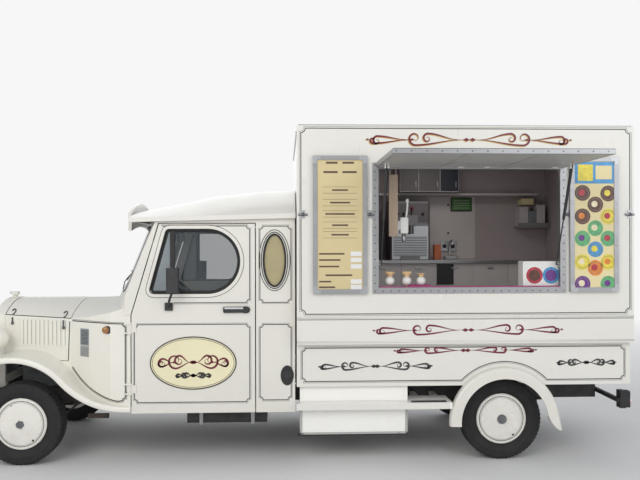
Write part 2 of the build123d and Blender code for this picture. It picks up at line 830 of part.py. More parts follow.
with BuildPart() as cab_shell:
    prism(
        [
            (quarter_front, cab_low),
            (cab_rear, cab_low),
            (cab_rear, roof_lip_rear),
            (quarter_front, roof_plane(quarter_front)),
        ],
        -cab_half + cab_wall,
        -cab_half,
    )
    quarter_oval(quarter_ring, cab_half - 1, cab_half + 6)
    quarter_oval(0, cab_half - 100, cab_half + 20, mode=Mode.SUBTRACT)
    # Oval recess for the fuel filler
    with BuildSketch(upright.offset(cab_half - 14)):
        with Locations((2028, 684)):
            Ellipse(41, 76)
    extrude(amount=20, mode=Mode.SUBTRACT)
    # Cant rail and screen pillar in one outline
    prism(
        [
            (screen_foot_x, belt_low),
            (screen_foot_x, screen_foot_z),
            (screen_x(roof_plane(990)), roof_plane(990)),
            (quarter_front + 5, roof_plane(quarter_front + 5)),
            (quarter_front + 5, door_high + door_gap),
            (door_top_x - door_gap, door_high + door_gap),
            (scuttle_rear, belt_low),
        ],
        -pillar_in,
        -cab_half,
    )
    slab((scuttle_rear, -sill_out, cab_low), (quarter_front + 5, -sill_in, sill_high))
    slab((quarter_front, -cab_half + 5, cab_low), (quarter_front + pillar_depth, -sill_in, door_high))
    mirror(about=Plane.XZ)
    bowed_bar(0, screen_wall, screen_low, screen_high)
    screen_window(0, Mode.SUBTRACT)
    slab((cab_rear - cab_wall, -cab_half + 20, sill_high), (cab_rear, cab_half - 20, roof_lip_rear))
    # Everything ends at the roof's underside
    prism(
        [(600, roof_plane(600)), (2110, roof_plane(2110)), (2110, 2300), (600, 2300)],
        1000,
        -1000,
        mode=Mode.SUBTRACT,
    )
pieces["cab_shell"] = cab_shell

# Oval quarter windows
with BuildPart() as quarter_windows:
    quarter_oval(-seat_gap, cab_half - 20, cab_half - 14)
    mirror(about=Plane.XZ)
pieces["quarter_windows"] = quarter_windows

# Cab floor, toe board and bulkhead
floor_low = rail_high + seat_gap
floor_deck = floor_low + 30
toe_half = 640
with BuildPart() as cab_floor:
    slab(
        (scuttle_rear + seat_gap, -sill_in + seat_gap, floor_low),
        (cab_rear - cab_wall, sill_in - seat_gap, floor_deck),
    )
    slab((600, -770, floor_low), (scuttle_rear + 5, 770, floor_deck))
    prism([(600, floor_low), (600, floor_deck), (455, 800), (440, 800), (440, 760)], toe_half, -toe_half)
    slab((440, -toe_half, 780), (455, toe_half, 1100))
pieces["cab_floor"] = cab_floor

# Roof: a domed shell that rises to the rear, with a rain lip all round
roof_end = cab_rear + 5
roof_sections = [
    (roof_front, roof_half, 1962, roof_lip_front + 34, roof_lip_front),
    (1400, roof_half, 2084, roof_plane(1400) + 35, roof_plane(1400)),
    (1775, roof_half, 2130, roof_plane(1775) + 36, roof_plane(1775)),
    (roof_end, roof_half, 2141, roof_plane(roof_end) + 38, roof_plane(roof_end)),
]
with BuildPart() as roof_core:
    arched_solid(roof_sections, roof_wall)
    slab((roof_front - 1, -1000, 1700), (roof_front + roof_wall, 1000, 2300), mode=Mode.SUBTRACT)
    slab((roof_end - roof_wall, -1000, 1700), (roof_end + 1, 1000, 2300), mode=Mode.SUBTRACT)
with BuildPart() as cab_roof:
    arched_solid(roof_sections, 0)
    add(roof_core.part, mode=Mode.SUBTRACT)
pieces["cab_roof"] = cab_roof

# Arched board over the windscreen, on two stays
board_x = 752
board_half = 500
board_thickness = 26
with BuildPart() as roof_headboard:
    with BuildSketch(cross.offset(board_x)):
        with BuildLine():
            top = ThreePointArc((-board_half, 1925), (0, 2028), (board_half, 1925))
            foot = ThreePointArc((-board_half, 1790), (0, 1830), (board_half, 1790))
            Line(top @ 0, foot @ 0)
            Line(top @ 1, foot @ 1)
        make_face()
    extrude(amount=board_thickness)
    for side in (-1, 1):
        slab((board_x + 20, side * 300 - 15, 1862), (roof_front - seat_gap, side * 300 + 15, 1892))
pieces["roof_headboard"] = roof_headboard

# Doors, each with its window, a raised moulding round it and a divider bar
window_radius = 241
window_x = 1427
window_z = 1554
window_front_low = 985
window_front_high = 1118
window_corner = 34
divider_x = 1146
divider_width = 26


def window_outline(grow):
    """The door window: a leaning front edge, and a half-round rear end."""
    with BuildLine() as outline:
        Line((window_front_low, window_z - window_radius), (window_x, window_z - window_radius))
        CenterArc((window_x, window_z), window_radius, -90, 180)
        Line((window_x, window_z + window_radius), (window_front_high, window_z + window_radius))
        Line((window_front_high, window_z + window_radius), (window_front_low, window_z - window_radius))
        fillet(outline.vertices().sort_by(Axis.X)[:2], window_corner)
    make_face(outline.edges())
    if grow:
        offset(amount=grow, kind=Kind.ARC, mode=Mode.REPLACE)


with BuildPart() as door_left:
    prism(
        [
            (door_front, cab_low),
            (door_rear, cab_low),
            (door_rear, door_high),
            (door_top_x, door_high),
            (door_front, belt_low),
        ],
        -cab_half + door_thickness,
        -cab_half,
    )
    with BuildSketch(upright.offset(cab_half - 1)):
        window_outline(30)
    extrude(amount=9)
    with BuildSketch(upright.offset(cab_half - 100)):
        window_outline(0)
    extrude(amount=200, mode=Mode.SUBTRACT)
    slab(
        (divider_x, -cab_half + 12, window_z - window_radius - 4),
        (divider_x + divider_width, -cab_half + 34, window_z + window_radius + 4),
    )
    for height in hinge_heights:
        rod((hinge_x, -hinge_y, height), (hinge_x, -hinge_y, height + hinge_length), door_barrel)
        slab((hinge_x, -hinge_y, height), (hinge_x + 40, -cab_half, height + hinge_length))
    for height in hinge_heights:
        rod(
            (hinge_x, -hinge_y, height - 1),
            (hinge_x, -hinge_y, height + hinge_length + 1),
            door_pin + running_gap,
            mode=Mode.SUBTRACT,
        )
pieces["door_left"] = door_left
with BuildPart() as door_right:
    mirror(door_left.part, about=Plane.XZ)
pieces["door_right"] = door_right

# Door glass, in two panes either side of the divider
with BuildPart() as door_glass_left:
    with BuildSketch(upright.offset(cab_half - 25)):
        window_outline(-seat_gap)
    extrude(amount=5)
    slab(
        (divider_x - seat_gap, -cab_half - 10, 1200),
        (divider_x + divider_width + seat_gap, -cab_half + 60, 1900),
        mode=Mode.SUBTRACT,
    )
pieces["door_glass_left"] = door_glass_left
with BuildPart() as door_glass_right:
    mirror(door_glass_left.part, about=Plane.XZ)
pieces["door_glass_right"] = door_glass_right

# Door mirrors on bent arms
with BuildPart() as mirror_left:
    slab((1105, -cab_half - 18, 1183), (1164, -cab_half, 1242))
    rod((1134, -cab_half - 8, 1212), (1150, -1010, 1262), 9)
    rod((1150, -1010, 1262), (1180, -1040, 1340), 9)
    with BuildSketch(Plane.XY.offset(1324)):
        with Locations((1180, -1042)):
            RectangleRounded(94, 52, 16)
    extrude(amount=185)
pieces["mirror_left"] = mirror_left
with BuildPart() as mirror_right:
    mirror(mirror_left.part, about=Plane.XZ)
pieces["mirror_right"] = mirror_right

# Dashboard with the steering column's tube; the wheel turns in it
column_y = 420
column_foot = Vector(600, column_y, 678)
column_top = Vector(1070, column_y, 1208)
column_dir = (column_top - column_foot).normalized()
shaft_radius = 12
dash_half = 690
with BuildPart() as dashboard:
    prism([(770, 1060), (846, 1100), (870, 1150), (846, 1190), (770, 1200)], dash_half, -dash_half)
    rod(column_foot, column_top, 24)
    slab((792, column_y - 30, 900), (836, column_y + 30, 1080))
    rod(column_foot - column_dir * 60, column_top + column_dir * 5, shaft_radius + running_gap, Mode.SUBTRACT)
    for side in (-1, 1):
        foot_y = side * (dash_half - 35)
        slab((770, foot_y - 15, floor_deck + seat_gap), (800, foot_y + 15, 1100))
pieces["dashboard"] = dashboard
wheel_hub = column_top + column_dir * 30
wheel_ring = 195
spoke_width = 24
spoke_thickness = 7
with BuildPart() as steering_wheel:
    rod(column_foot + column_dir * 40, wheel_hub, shaft_radius)
    rod(wheel_hub - column_dir * 24, wheel_hub + column_dir * 26, 38)
    with Locations(Plane(origin=wheel_hub + column_dir * 20, x_dir=(0, 1, 0), z_dir=column_dir)):
        Torus(wheel_ring, 13)
        with PolarLocations(0, 3, start_angle=90):
            Box(wheel_ring, spoke_width, spoke_thickness, align=(Align.MIN, Align.CENTER, Align.CENTER))
pieces["steering_wheel"] = steering_wheel

# Seats: frames, and the soft cushions and backs that they carry
seat_y = 430
seat_half = 235
seat_deck = 790
cushion_high = 920
with BuildPart() as seat_frames:
    for side in (-1, 1):
        low = side * seat_y - seat_half + 20
        high = side * seat_y + seat_half - 20
        slab((1250, low, floor_deck + seat_gap), (1700, high, seat_deck))
        slab((1268, low + 18, floor_deck + 18), (1682, high - 18, seat_deck - 18), mode=Mode.SUBTRACT)
        prism([(1695, 700), (1722, 700), (1834, 1540), (1812, 1540)], high, low)
pieces["seat_frames"] = seat_frames
with BuildPart() as seat_cushions:
    for side in (-1, 1):
        low = side * seat_y - seat_half
        high = side * seat_y + seat_half
        slab((1220, low, seat_deck + seat_gap), (1690, high, cushion_high))
        prism(
            [(1600, cushion_high + seat_gap), (1724, cushion_high + seat_gap), (1815, 1605), (1715, 1605)],
            high,
            low,
        )
pieces["seat_cushions"] = seat_cushions

# Servery floor with its bearers and the runners on the rails
body_bearers = [box_front + 99, box_front + 599, rear_arch_x - 435, rear_arch_x + 465, box_rear - 99]
floor_under = floor_top - floor_thickness
bearer_low = 620
floor_half = skirt_half - skirt_wall - seat_gap
with BuildPart() as box_floor:
    slab((box_front, -floor_half, floor_under), (box_rear, floor_half, floor_top))
    for place in body_bearers:
        slab((place - 30, -floor_half, bearer_low), (place + 30, floor_half, floor_under - seat_gap))
    for side in (-1, 1):
        middle = side * rail_out
        slab((box_front, middle - 28, rail_high + seat_gap), (rail_rear, middle + 28, bearer_low - seat_gap))
pieces["box_floor"] = box_floor

# Servery walls
with BuildPart() as box_left_wall:
    slab((box_front, -box_half, box_low), (box_rear, -box_half + wall, box_high - wall))
    slab(
        (opening_front, -box_half - 1, opening_low),
        (opening_rear, -box_half + wall + 1, opening_high),
        mode=Mode.SUBTRACT,
    )
pieces["box_left_wall"] = box_left_wall
with BuildPart() as box_right_wall:
    slab((box_front, box_half - wall, box_low), (box_rear, box_half, box_high - wall))
pieces["box_right_wall"] = box_right_wall

inner_half = box_half - wall
rear_door_half = 380
rear_door_low = 745
rear_door_high = 2450
rear_gap = 8
rear_hinge_x = box_rear + door_barrel + seat_gap
rear_hinge_y = rear_door_half + rear_gap / 2
rear_hinges = [900, 1600, 2300]
with BuildPart() as box_end_walls:
    for place in (box_front, box_rear - wall):
        slab((place, -floor_half, floor_top), (place + wall, floor_half, box_low + 20))
        slab((place, -inner_half, box_low), (place + wall, inner_half, box_high - wall))
    slab(
        (box_rear - wall - 1, -rear_door_half - rear_gap, floor_top - 1),
        (box_rear + 1, rear_door_half + rear_gap, rear_door_high + rear_gap),
        mode=Mode.SUBTRACT,
    )
    for height in rear_hinges:
        rod((rear_hinge_x, rear_hinge_y, height - 12), (rear_hinge_x, rear_hinge_y, height + 72), door_pin)
        for low in (height - 12, height + 61):
            rod((rear_hinge_x, rear_hinge_y, low), (rear_hinge_x, rear_hinge_y, low + 11), door_barrel)
            slab((box_rear - 1, rear_hinge_y + 4, low), (rear_hinge_x, rear_hinge_y + 46, low + 11))
pieces["box_end_walls"] = box_end_walls

with BuildPart() as rear_door:
    slab((box_rear - wall, -rear_door_half, rear_door_low), (box_rear, rear_door_half, rear_door_high))
    for height in rear_hinges:
        rod((rear_hinge_x, rear_hinge_y, height), (rear_hinge_x, rear_hinge_y, height + 60), door_barrel)
        slab((box_rear, rear_hinge_y - 44, height), (rear_hinge_x, rear_hinge_y, height + 60))
    for height in rear_hinges:
        rod(
            (rear_hinge_x, rear_hinge_y, height - 1),
            (rear_hinge_x, rear_hinge_y, height + 61),
            door_pin + running_gap,
            mode=Mode.SUBTRACT,
        )
pieces["rear_door"] = rear_door

with BuildPart() as box_roof:
    slab((box_front, -box_half, box_high - wall), (box_rear, box_half, box_high))
    fillet(box_roof.faces().sort_by(Axis.Z)[-1].edges(), 16)
pieces["box_roof"] = box_roof

# Skirts under the walls, cut round the rear wheels, with the ledge that carries the wall
with BuildPart() as body_skirts:
    slab((box_front, -skirt_half, skirt_low), (box_rear - 5, -skirt_half + skirt_wall, box_low))
    slab((box_front, -box_half, box_low - 10), (box_rear, -skirt_half + skirt_wall, box_low))
    rod(
        (rear_arch_x, -skirt_half - 1, rear_arch_z),
        (rear_arch_x, -skirt_half + skirt_wall + 1, rear_arch_z),
        rear_arch_radius + 8,
        mode=Mode.SUBTRACT,
    )
    mirror(about=Plane.XZ)
pieces["body_skirts"] = body_skirts

# Rear wings: a bulged band round the arch, with a flared tail
flare_start = 12
flare_radius = 200
flare_turn = 46
flare_x = rear_arch_x + (rear_arch_radius + flare_radius) * cos(radians(flare_start))
flare_z = rear_arch_z + (rear_arch_radius + flare_radius) * sin(radians(flare_start))
tail_drop = 150
wing_tip_z = 295


def arch_start(radius):
    """Angle round the rear arch at which a curve of this radius meets the front tip's level."""
    return 180 + degrees(atan2(rear_arch_z - wing_tip_z, radius))


def rear_wing_region(inner, outer):
    """The rear wing's outline, from its plain front tip to its flared tail."""
    middle = (rear_arch_x, rear_arch_z)
    radius_in = rear_arch_radius + inner
    radius_out = rear_arch_radius + outer
    with BuildLine() as outline:
        low_arc = CenterArc(middle, radius_in, arch_start(radius_in), flare_start - arch_start(radius_in))
        flare = CenterArc((flare_x, flare_z), flare_radius - inner, 180 + flare_start, flare_turn)
        high_arc = CenterArc(middle, radius_out, arch_start(radius_out), flare_start - arch_start(radius_out))
        tail = high_arc @ 1 + (high_arc % 1) * tail_drop
        Line(high_arc @ 1, tail)
        Line(tail, flare @ 1)
        Line(low_arc @ 0, high_arc @ 0)
    make_face(outline.edges())


def arch_band(inner, outer, start, end):
    """A plain band round the rear arch between two radii and two angles."""
    middle = (rear_arch_x, rear_arch_z)
    with BuildLine() as outline:
        low_arc = CenterArc(middle, inner, start, end - start)
        high_arc = CenterArc(middle, outer, start, end - start)
        Line(low_arc @ 0, high_arc @ 0)
        Line(low_arc @ 1, high_arc @ 1)
    make_face(outline.edges())


with BuildPart() as rear_wings:
    with BuildSketch(upright.offset(skirt_half + seat_gap)):
        rear_wing_region(0, rear_band)
    extrude(amount=rear_wing_out - skirt_half - seat_gap)
    outer_edge = rear_wings.faces().sort_by(Axis.Y)[0].edges().sort_by(SortBy.LENGTH)[-1]
    fillet(outer_edge, 24)
    with BuildSketch(upright.offset(skirt_half - 5)):
        arch_band(rear_arch_radius - 30, rear_arch_radius + rear_band - 12, 178, 6)
    extrude(amount=rear_wing_out - skirt_half + 5 - 12, mode=Mode.SUBTRACT)
    mirror(about=Plane.XZ)
pieces["rear_wings"] = rear_wings

# Running boards on brackets, with the step lockers between them and the rails
board_front = 2100
board_low = 433
board_high = 482
board_out = 1000
arch_reach = sqrt((rear_arch_radius + rear_band) ** 2 - (board_low - rear_arch_z) ** 2)
board_rear = rear_arch_x - arch_reach - seat_gap
locker_front = box_front + 24
locker_rear = rear_arch_x - 735
locker_low = 230
locker_out = 905
locker_in = 560
locker_wall = 15
with BuildPart() as running_boards:
    slab((board_front, -board_out, board_low), (board_rear, -locker_out - seat_gap, board_high))
    slab((locker_rear + 5, -locker_out - 5, board_low), (board_rear, -720, board_high))
    for place in (3040, 3200):
        slab((place, -730, board_low), (place + 40, -rail_out - rail_width / 2 - seat_gap, board_low + 30))
    slab((locker_front, -locker_out, locker_low), (locker_rear, -locker_in, bearer_low - seat_gap))
    slab(
        (locker_front + locker_wall, -locker_out + locker_wall, locker_low + locker_wall),
        (locker_rear - locker_wall, -locker_in - locker_wall, bearer_low - locker_wall),
        mode=Mode.SUBTRACT,
    )
    mirror(about=Plane.XZ)
pieces["running_boards"] = running_boards

# Serving frame: a flat border, a lining through the wall, and the studs for the hatch's stays
hatch_pin_y = -box_half - frame_plate - 7
hatch_pin_z = opening_high + 8
stay_low_y = -985
stay_low_z = 1530
stay_high_out = 300                  # from the hatch's hinge to the stay's upper eye
stay_drop = 25
stay_x = [opening_front + 28, opening_rear - 28]
hatch_front = opening_front - 10
hatch_rear = opening_rear + 30
hinge_lugs = [hatch_front + 5, (hatch_front + hatch_rear) / 2, hatch_rear - 25]
hatch_knuckles = [hatch_front + 60, hatch_front + 620, hatch_front + 820, hatch_rear - 100]
with BuildPart() as serving_frame:
    slab(
        (opening_front - frame_border, -box_half - frame_plate, opening_low - frame_border),
        (opening_rear + frame_border, -box_half, opening_high + frame_border),
    )
    slab(
        (opening_front + seat_gap, -box_half, opening_low + seat_gap),
        (opening_rear - seat_gap, -box_half + wall, opening_high - seat_gap),
    )
    slab(
        (opening_front + frame_lining, -box_half - 20, opening_low + frame_lining),
        (opening_rear - frame_lining, -box_half + wall + 1, opening_high - frame_lining),
        mode=Mode.SUBTRACT,
    )
    for place, side in zip(stay_x, (-1, 1)):
        rod((place + side * 24, stay_low_y, stay_low_z), (place + side * 4.3, stay_low_y, stay_low_z), 7)
    # Hinge rod along the top, on three lugs
    rod((hatch_front + 5, hatch_pin_y, hatch_pin_z), (hatch_rear - 5, hatch_pin_y, hatch_pin_z), 3)
    for place in hinge_lugs:
        rod((place, hatch_pin_y, hatch_pin_z), (place + 20, hatch_pin_y, hatch_pin_z), 5)
        slab(
            (place, hatch_pin_y, hatch_pin_z - 4),
            (place + 20, -box_half - frame_plate + 1, hatch_pin_z + 4),
        )
pieces["serving_frame"] = serving_frame

# Serving hatch, shown open: a stiffened panel with an edge rail, brackets for the stays and hinge leaves
hatch_root = hatch_pin_y - 7
hatch_tip = hatch_root - hatch_length
hatch_low = hatch_pin_z + 2
stay_high_y = hatch_pin_y - stay_high_out
stay_high_z = hatch_pin_z - stay_drop
with BuildPart() as serving_hatch:
    slab((hatch_front, hatch_tip, hatch_low), (hatch_rear, hatch_root, hatch_low + hatch_thickness))
    fillet(serving_hatch.edges().filter_by(Axis.Z), 12)
    slab(
        (hatch_front + 35, hatch_tip + 35, hatch_low - 1),
        (hatch_rear - 35, hatch_root - 35, hatch_low + hatch_thickness - 10),
        mode=Mode.SUBTRACT,
    )
    for count in range(1, 4):
        rib = hatch_front + (hatch_rear - hatch_front) * count / 4
        slab((rib - 15, hatch_tip + 30, hatch_low), (rib + 15, hatch_root - 30, hatch_low + 24))
    for place in stay_x:
        slab((place - 22, stay_high_y - 22, hatch_low + 5), (place + 22, stay_high_y + 22, hatch_low + 24))
        for ear in (-13, 5):
            slab(
                (place + ear, stay_high_y - 14, stay_high_z),
                (place + ear + 8, stay_high_y + 14, hatch_low + 8),
            )
            rod((place + ear, stay_high_y, stay_high_z), (place + ear + 8, stay_high_y, stay_high_z), 14)
        rod((place - 13, stay_high_y, stay_high_z), (place + 13, stay_high_y, stay_high_z), 5)
    for place in hatch_knuckles:
        rod((place, hatch_pin_y, hatch_pin_z), (place + 40, hatch_pin_y, hatch_pin_z), 5)
        slab((place, hatch_root - 30, hatch_pin_z - 1), (place + 40, hatch_pin_y, hatch_pin_z + 3))
    for place in hatch_knuckles:
        rod(
            (place - 1, hatch_pin_y, hatch_pin_z),
            (place + 41, hatch_pin_y, hatch_pin_z),
            3 + running_gap,
            mode=Mode.SUBTRACT,
        )
pieces["serving_hatch"] = serving_hatch

# Gas stays: the tube hangs from the hatch, and the rod runs into it
stay_run = Vector(0, stay_low_y - stay_high_y, stay_low_z - stay_high_z)
stay_dir = stay_run.normalized()
stay_closed = hypot(hatch_pin_y + stay_drop - stay_low_y, hatch_pin_z - stay_high_out - stay_low_z)
tube_length = stay_closed - 22
rod_length = stay_closed - 26
rod_radius = 5
eye_half = 4
with BuildPart() as stay_tubes:
    for place in stay_x:
        top = Vector(place, stay_high_y, stay_high_z)
        rod(top, top + stay_dir * 20, eye_half - 0.6)
        rod(top + stay_dir * 18, top + stay_dir * tube_length, 11)
        rod(top - Vector(eye_half, 0, 0), top + Vector(eye_half, 0, 0), 13)
    for place in stay_x:
        top = Vector(place, stay_high_y, stay_high_z)
        rod(top - Vector(5, 0, 0), top + Vector(5, 0, 0), 5 + running_gap, mode=Mode.SUBTRACT)
        rod(top + stay_dir * 24, top + stay_dir * (tube_length + 1), rod_radius + running_gap, Mode.SUBTRACT)
pieces["stay_tubes"] = stay_tubes
with BuildPart() as stay_rods:
    for place in stay_x:
        foot = Vector(place, stay_low_y, stay_low_z)
        rod(foot - stay_dir * rod_length, foot - stay_dir * 8, rod_radius)
        rod(foot - Vector(eye_half, 0, 0), foot + Vector(eye_half, 0, 0), 10)
pieces["stay_rods"] = stay_rods

# Menu boards either side of the opening: a rail round a flat panel
menu_board_table = [
    # front X, rear X, low Z, high Z
    (2222, 2631, 1310, 2347),
    (4176, 4549, 1316, 2342),
]
board_rail = 34
board_depth = 30
with BuildPart() as menu_boards:
    for front, rear, low, high in menu_board_table:
        slab((front, -box_half - board_depth, low), (rear, -box_half, high))
        slab(
            (front + board_rail, -box_half - board_depth - 1, low + board_rail),
            (rear - board_rail, -box_half - 20, high - board_rail),
            mode=Mode.SUBTRACT,
        )
pieces["menu_boards"] = menu_boards

# Servery fittings: the counter under the opening, the one along the far wall, a shelf and a cupboard
counter_high = 1335
far_counter_high = 1520
counter_board = 30
board_wall = 18
shelf_low = 2150
fittings_front = box_front + 299
fittings_rear = box_rear - 179
ledge = box_low + 24
cabinet_front = opening_front + 48
cabinet_rear = opening_rear - 52
far_front = fittings_front + 20
far_rear = fittings_rear - 20
fittings = [
    # front X, rear X, near Y, far Y, low Z, high Z
    (cabinet_front, cabinet_rear, -inner_half + 15, -640, ledge, counter_high - counter_board),
    (cabinet_front, cabinet_rear, -floor_half + 10, -640, floor_top + seat_gap, ledge),
    (far_front, far_rear, 520, inner_half - 20, ledge, far_counter_high - counter_board),
    (far_front, far_rear, 520, floor_half - 10, floor_top + seat_gap, ledge),
    (3120, 3693, inner_half - 300, inner_half - seat_gap, shelf_low + 28, shelf_low + 290),
]
with BuildPart() as servery_cabinets:
    for front, rear, near, far, low, high in fittings:
        slab((front, near, low), (rear, far, high))
    for front, rear, near, far, low, high in fittings:
        slab(
            (front + board_wall, near + board_wall, low + board_wall),
            (rear - board_wall, far - board_wall, high - board_wall),
            mode=Mode.SUBTRACT,
        )
    slab(
        (opening_front - 12, -inner_half + seat_gap, counter_high - counter_board),
        (box_rear - 79, -600, counter_high),
    )
    slab(
        (fittings_front, inner_half - 460, far_counter_high - counter_board),
        (fittings_rear, inner_half - seat_gap, far_counter_high),
    )
    slab(
        (fittings_front, inner_half - 180, shelf_low),
        (fittings_rear, inner_half - seat_gap, shelf_low + 20),
    )
pieces["servery_cabinets"] = servery_cabinets

# Soft ice cream machine on the far counter
machine_low = far_counter_high + seat_gap
with BuildPart() as ice_cream_machine:
    slab((3010, 540, machine_low), (3390, 900, machine_low + 560))
    fillet(ice_cream_machine.edges().filter_by(Axis.Z), 20)
    slab((3140, 470, machine_low + 330), (3260, 545, machine_low + 430))
    rod((3200, 500, machine_low + 250), (3200, 500, machine_low + 331), 26)
    slab((3110, 512, machine_low), (3290, 545, machine_low + 40))
pieces["ice_cream_machine"] = ice_cream_machine

# Rear lamps on a cross bar
lamp_out = 850
with BuildPart() as rear_lamps:
    slab((rail_rear + seat_gap, -lamp_out - 30, 445), (rail_rear + 30, lamp_out + 30, 475))
    for side in (-1, 1):
        slab((rail_rear + 20, side * lamp_out - 40, 400), (4664, side * lamp_out + 40, 535))
        slab((4664, side * lamp_out - 36, 404), (4700, side * lamp_out + 36, 531))
pieces["rear_lamps"] = rear_lamps

# Every piece is moved so that the origin lies on the road, under the middle of the whole truck
boxes = [piece.part.bounding_box() for piece in pieces.values()]
middle_x = (min(box.min.X for box in boxes) + max(box.max.X for box in boxes)) / 2
middle_y = (min(box.min.Y for box in boxes) + max(box.max.Y for box in boxes)) / 2
to_origin = Location((-middle_x, -middle_y, 0))
os.makedirs("parts", exist_ok=True)
for name, piece in pieces.items():
    placed = piece.part.moved(to_origin)
    placed.label = name
    export_step(placed, f"parts/{name}.step")
print("moved by", -middle_x, -middle_y, "pieces", len(pieces))
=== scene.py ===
from math import atan2, cos, hypot, pi, radians, sin, sqrt, tan

import bmesh
import bpy
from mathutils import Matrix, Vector


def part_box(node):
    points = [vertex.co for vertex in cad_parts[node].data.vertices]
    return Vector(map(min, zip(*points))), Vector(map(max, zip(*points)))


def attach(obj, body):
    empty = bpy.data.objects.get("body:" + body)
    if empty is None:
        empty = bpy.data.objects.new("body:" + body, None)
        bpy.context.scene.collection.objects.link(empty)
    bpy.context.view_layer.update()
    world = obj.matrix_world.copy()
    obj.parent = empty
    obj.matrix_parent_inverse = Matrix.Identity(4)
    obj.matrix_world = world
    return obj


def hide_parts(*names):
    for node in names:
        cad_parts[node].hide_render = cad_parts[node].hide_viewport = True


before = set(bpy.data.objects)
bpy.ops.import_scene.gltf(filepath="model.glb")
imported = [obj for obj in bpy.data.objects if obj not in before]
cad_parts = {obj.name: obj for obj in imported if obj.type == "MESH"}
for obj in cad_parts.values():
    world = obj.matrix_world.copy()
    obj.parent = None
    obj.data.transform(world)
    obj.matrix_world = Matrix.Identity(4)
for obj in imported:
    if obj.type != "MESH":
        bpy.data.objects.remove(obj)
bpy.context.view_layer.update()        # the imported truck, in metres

# places are in mm: back from the front axle, out from the middle, up from the road
chassisLow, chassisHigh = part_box("chassis_frame")
shiftX = chassisLow[0] + 0.430        # the chassis starts 430 mm before the axle
shiftY = (chassisLow[1] + chassisHigh[1]) / 2
truckSize = dict(wheelbase=3700, axleHigh=315, boxOut=1000, boxFront=2101, boxRear=4679, skirtOut=943, doorOut=915)
sides = ((-1, "Left"), (1, "Right"))


def at(x, y, z):
    return Vector((x / 1000 + shiftX, y / 1000 + shiftY, z / 1000))


# shader nodes: a socket among the inputs is linked, anything else is the input's own value
def setInputs(tree, node, inputs):
    for name, value in inputs.items():
        if isinstance(value, bpy.types.NodeSocket):
            tree.links.new(value, node.inputs[name])
        else:
            node.inputs[name].default_value = value


def addNode(tree, kind, inputs, output=0, **settings):
    node = tree.nodes.new("ShaderNode" + kind)
    for name, value in settings.items():
        setattr(node, name, value)
    setInputs(tree, node, inputs)
    return node.outputs[output]


def addNoise(tree, place, scale, detail, rough=0.5):
    return addNode(tree, "TexNoise", {"Vector": place, "Scale": scale, "Detail": detail, "Roughness": rough}, "Fac")


def addRange(tree, amount, toLow=0.0, toHigh=1.0, fromLow=0.0, fromHigh=1.0):
    return addNode(tree, "MapRange", {"Value": amount, "From Min": fromLow, "From Max": fromHigh, "To Min": toLow,
                                      "To Max": toHigh})


def addRamp(tree, amount, colour, low, high, start=0.0, end=1.0):
    node = tree.nodes.new("ShaderNodeValToRGB")
    for element, position, factor in zip(node.color_ramp.elements, (start, end), (low, high)):
        element.position = position
        element.color = tuple(min(1.0, channel * factor) for channel in colour) + (1.0,)
    tree.links.new(amount, node.inputs["Fac"])
    return node.outputs["Color"]


def newMaterial(name):
    material = bpy.data.materials.new(name)
    material.use_nodes = True
    tree = material.node_tree
    return material, tree, tree.nodes["Principled BSDF"], addNode(tree, "TexCoord", {}, "Object")


wear = dict(cloudDetail=6.0, cloudRough=0.6, cloudStart=0.3, cloudEnd=0.7, dustFoot=0.05, speckScale=14.0,
            speckDetail=8.0, speckRough=0.7, speckStart=0.35, speckEnd=0.7, smearTimes=5, smearDetail=4.0,
            grainDetail=3.0, grainDepth=0.001, coatRough=0.08)


def finish(name, colour, rough=0.4, metal=0.0, coat=0.0, mottle=0.05, mottleScale=2.5, grain=0.0, grainScale=300.0,
           roughSpread=0.08, dust=0.0, dustTop=0.9, dustColour=(0.23, 0.20, 0.16), stretch=(1, 1, 1)):
    material, tree, shader, place = newMaterial(name)
    spot = addNode(tree, "Mapping", {"Vector": place, "Scale": stretch})
    cloud = addNoise(tree, spot, mottleScale, wear["cloudDetail"], wear["cloudRough"])
    base = addRamp(tree, cloud, colour, 1 - mottle, 1 + mottle, wear["cloudStart"], wear["cloudEnd"])
    if dust:        # thicker towards the road, and broken up by specks
        height = addNode(tree, "SeparateXYZ", {"Vector": place}, "Z")
        fade = addRange(tree, height, 0.0, dust, dustTop, wear["dustFoot"])
        speck = addNoise(tree, place, wear["speckScale"], wear["speckDetail"], wear["speckRough"])
        spread = addRange(tree, speck, fromLow=wear["speckStart"], fromHigh=wear["speckEnd"])
        amount = addNode(tree, "Math", {0: fade, 1: spread}, operation="MULTIPLY")
        base = addNode(tree, "Mix", {"Factor": amount, 6: base, 7: (*dustColour, 1)}, 2, data_type="RGBA")
    smear = addNoise(tree, spot, mottleScale * wear["smearTimes"], wear["smearDetail"])
    gloss = addRange(tree, smear, max(0.02, rough - roughSpread), min(1.0, rough + roughSpread))
    setInputs(tree, shader, {"Base Color": base, "Roughness": gloss, "Metallic": metal, "Coat Weight": coat,
                             "Coat Roughness": wear["coatRough"]})
    if grain:
        fine = addNoise(tree, spot, grainScale, wear["grainDetail"])
        bump = addNode(tree, "Bump", {"Height": fine, "Strength": grain, "Distance": wear["grainDepth"]})
        setInputs(tree, shader, {"Normal": bump})
    return material


glassLook = dict(filmScale=7.0, filmDetail=5.0, wipe=0.06, ior=1.5, specular=0.8)


def glassFinish(name, tint, rough=0.02, alpha=0.25, mottle=0.05):
    material, tree, shader, place = newMaterial(name)
    film = addNoise(tree, place, glassLook["filmScale"], glassLook["filmDetail"])
    setInputs(tree, shader, {
        "Base Color": addRamp(tree, film, tint, 1 - mottle, 1 + mottle), "Alpha": alpha, "IOR": glassLook["ior"],
        "Roughness": addRange(tree, film, rough, rough + glassLook["wipe"]),
        "Specular IOR Level": glassLook["specular"]})
    return material


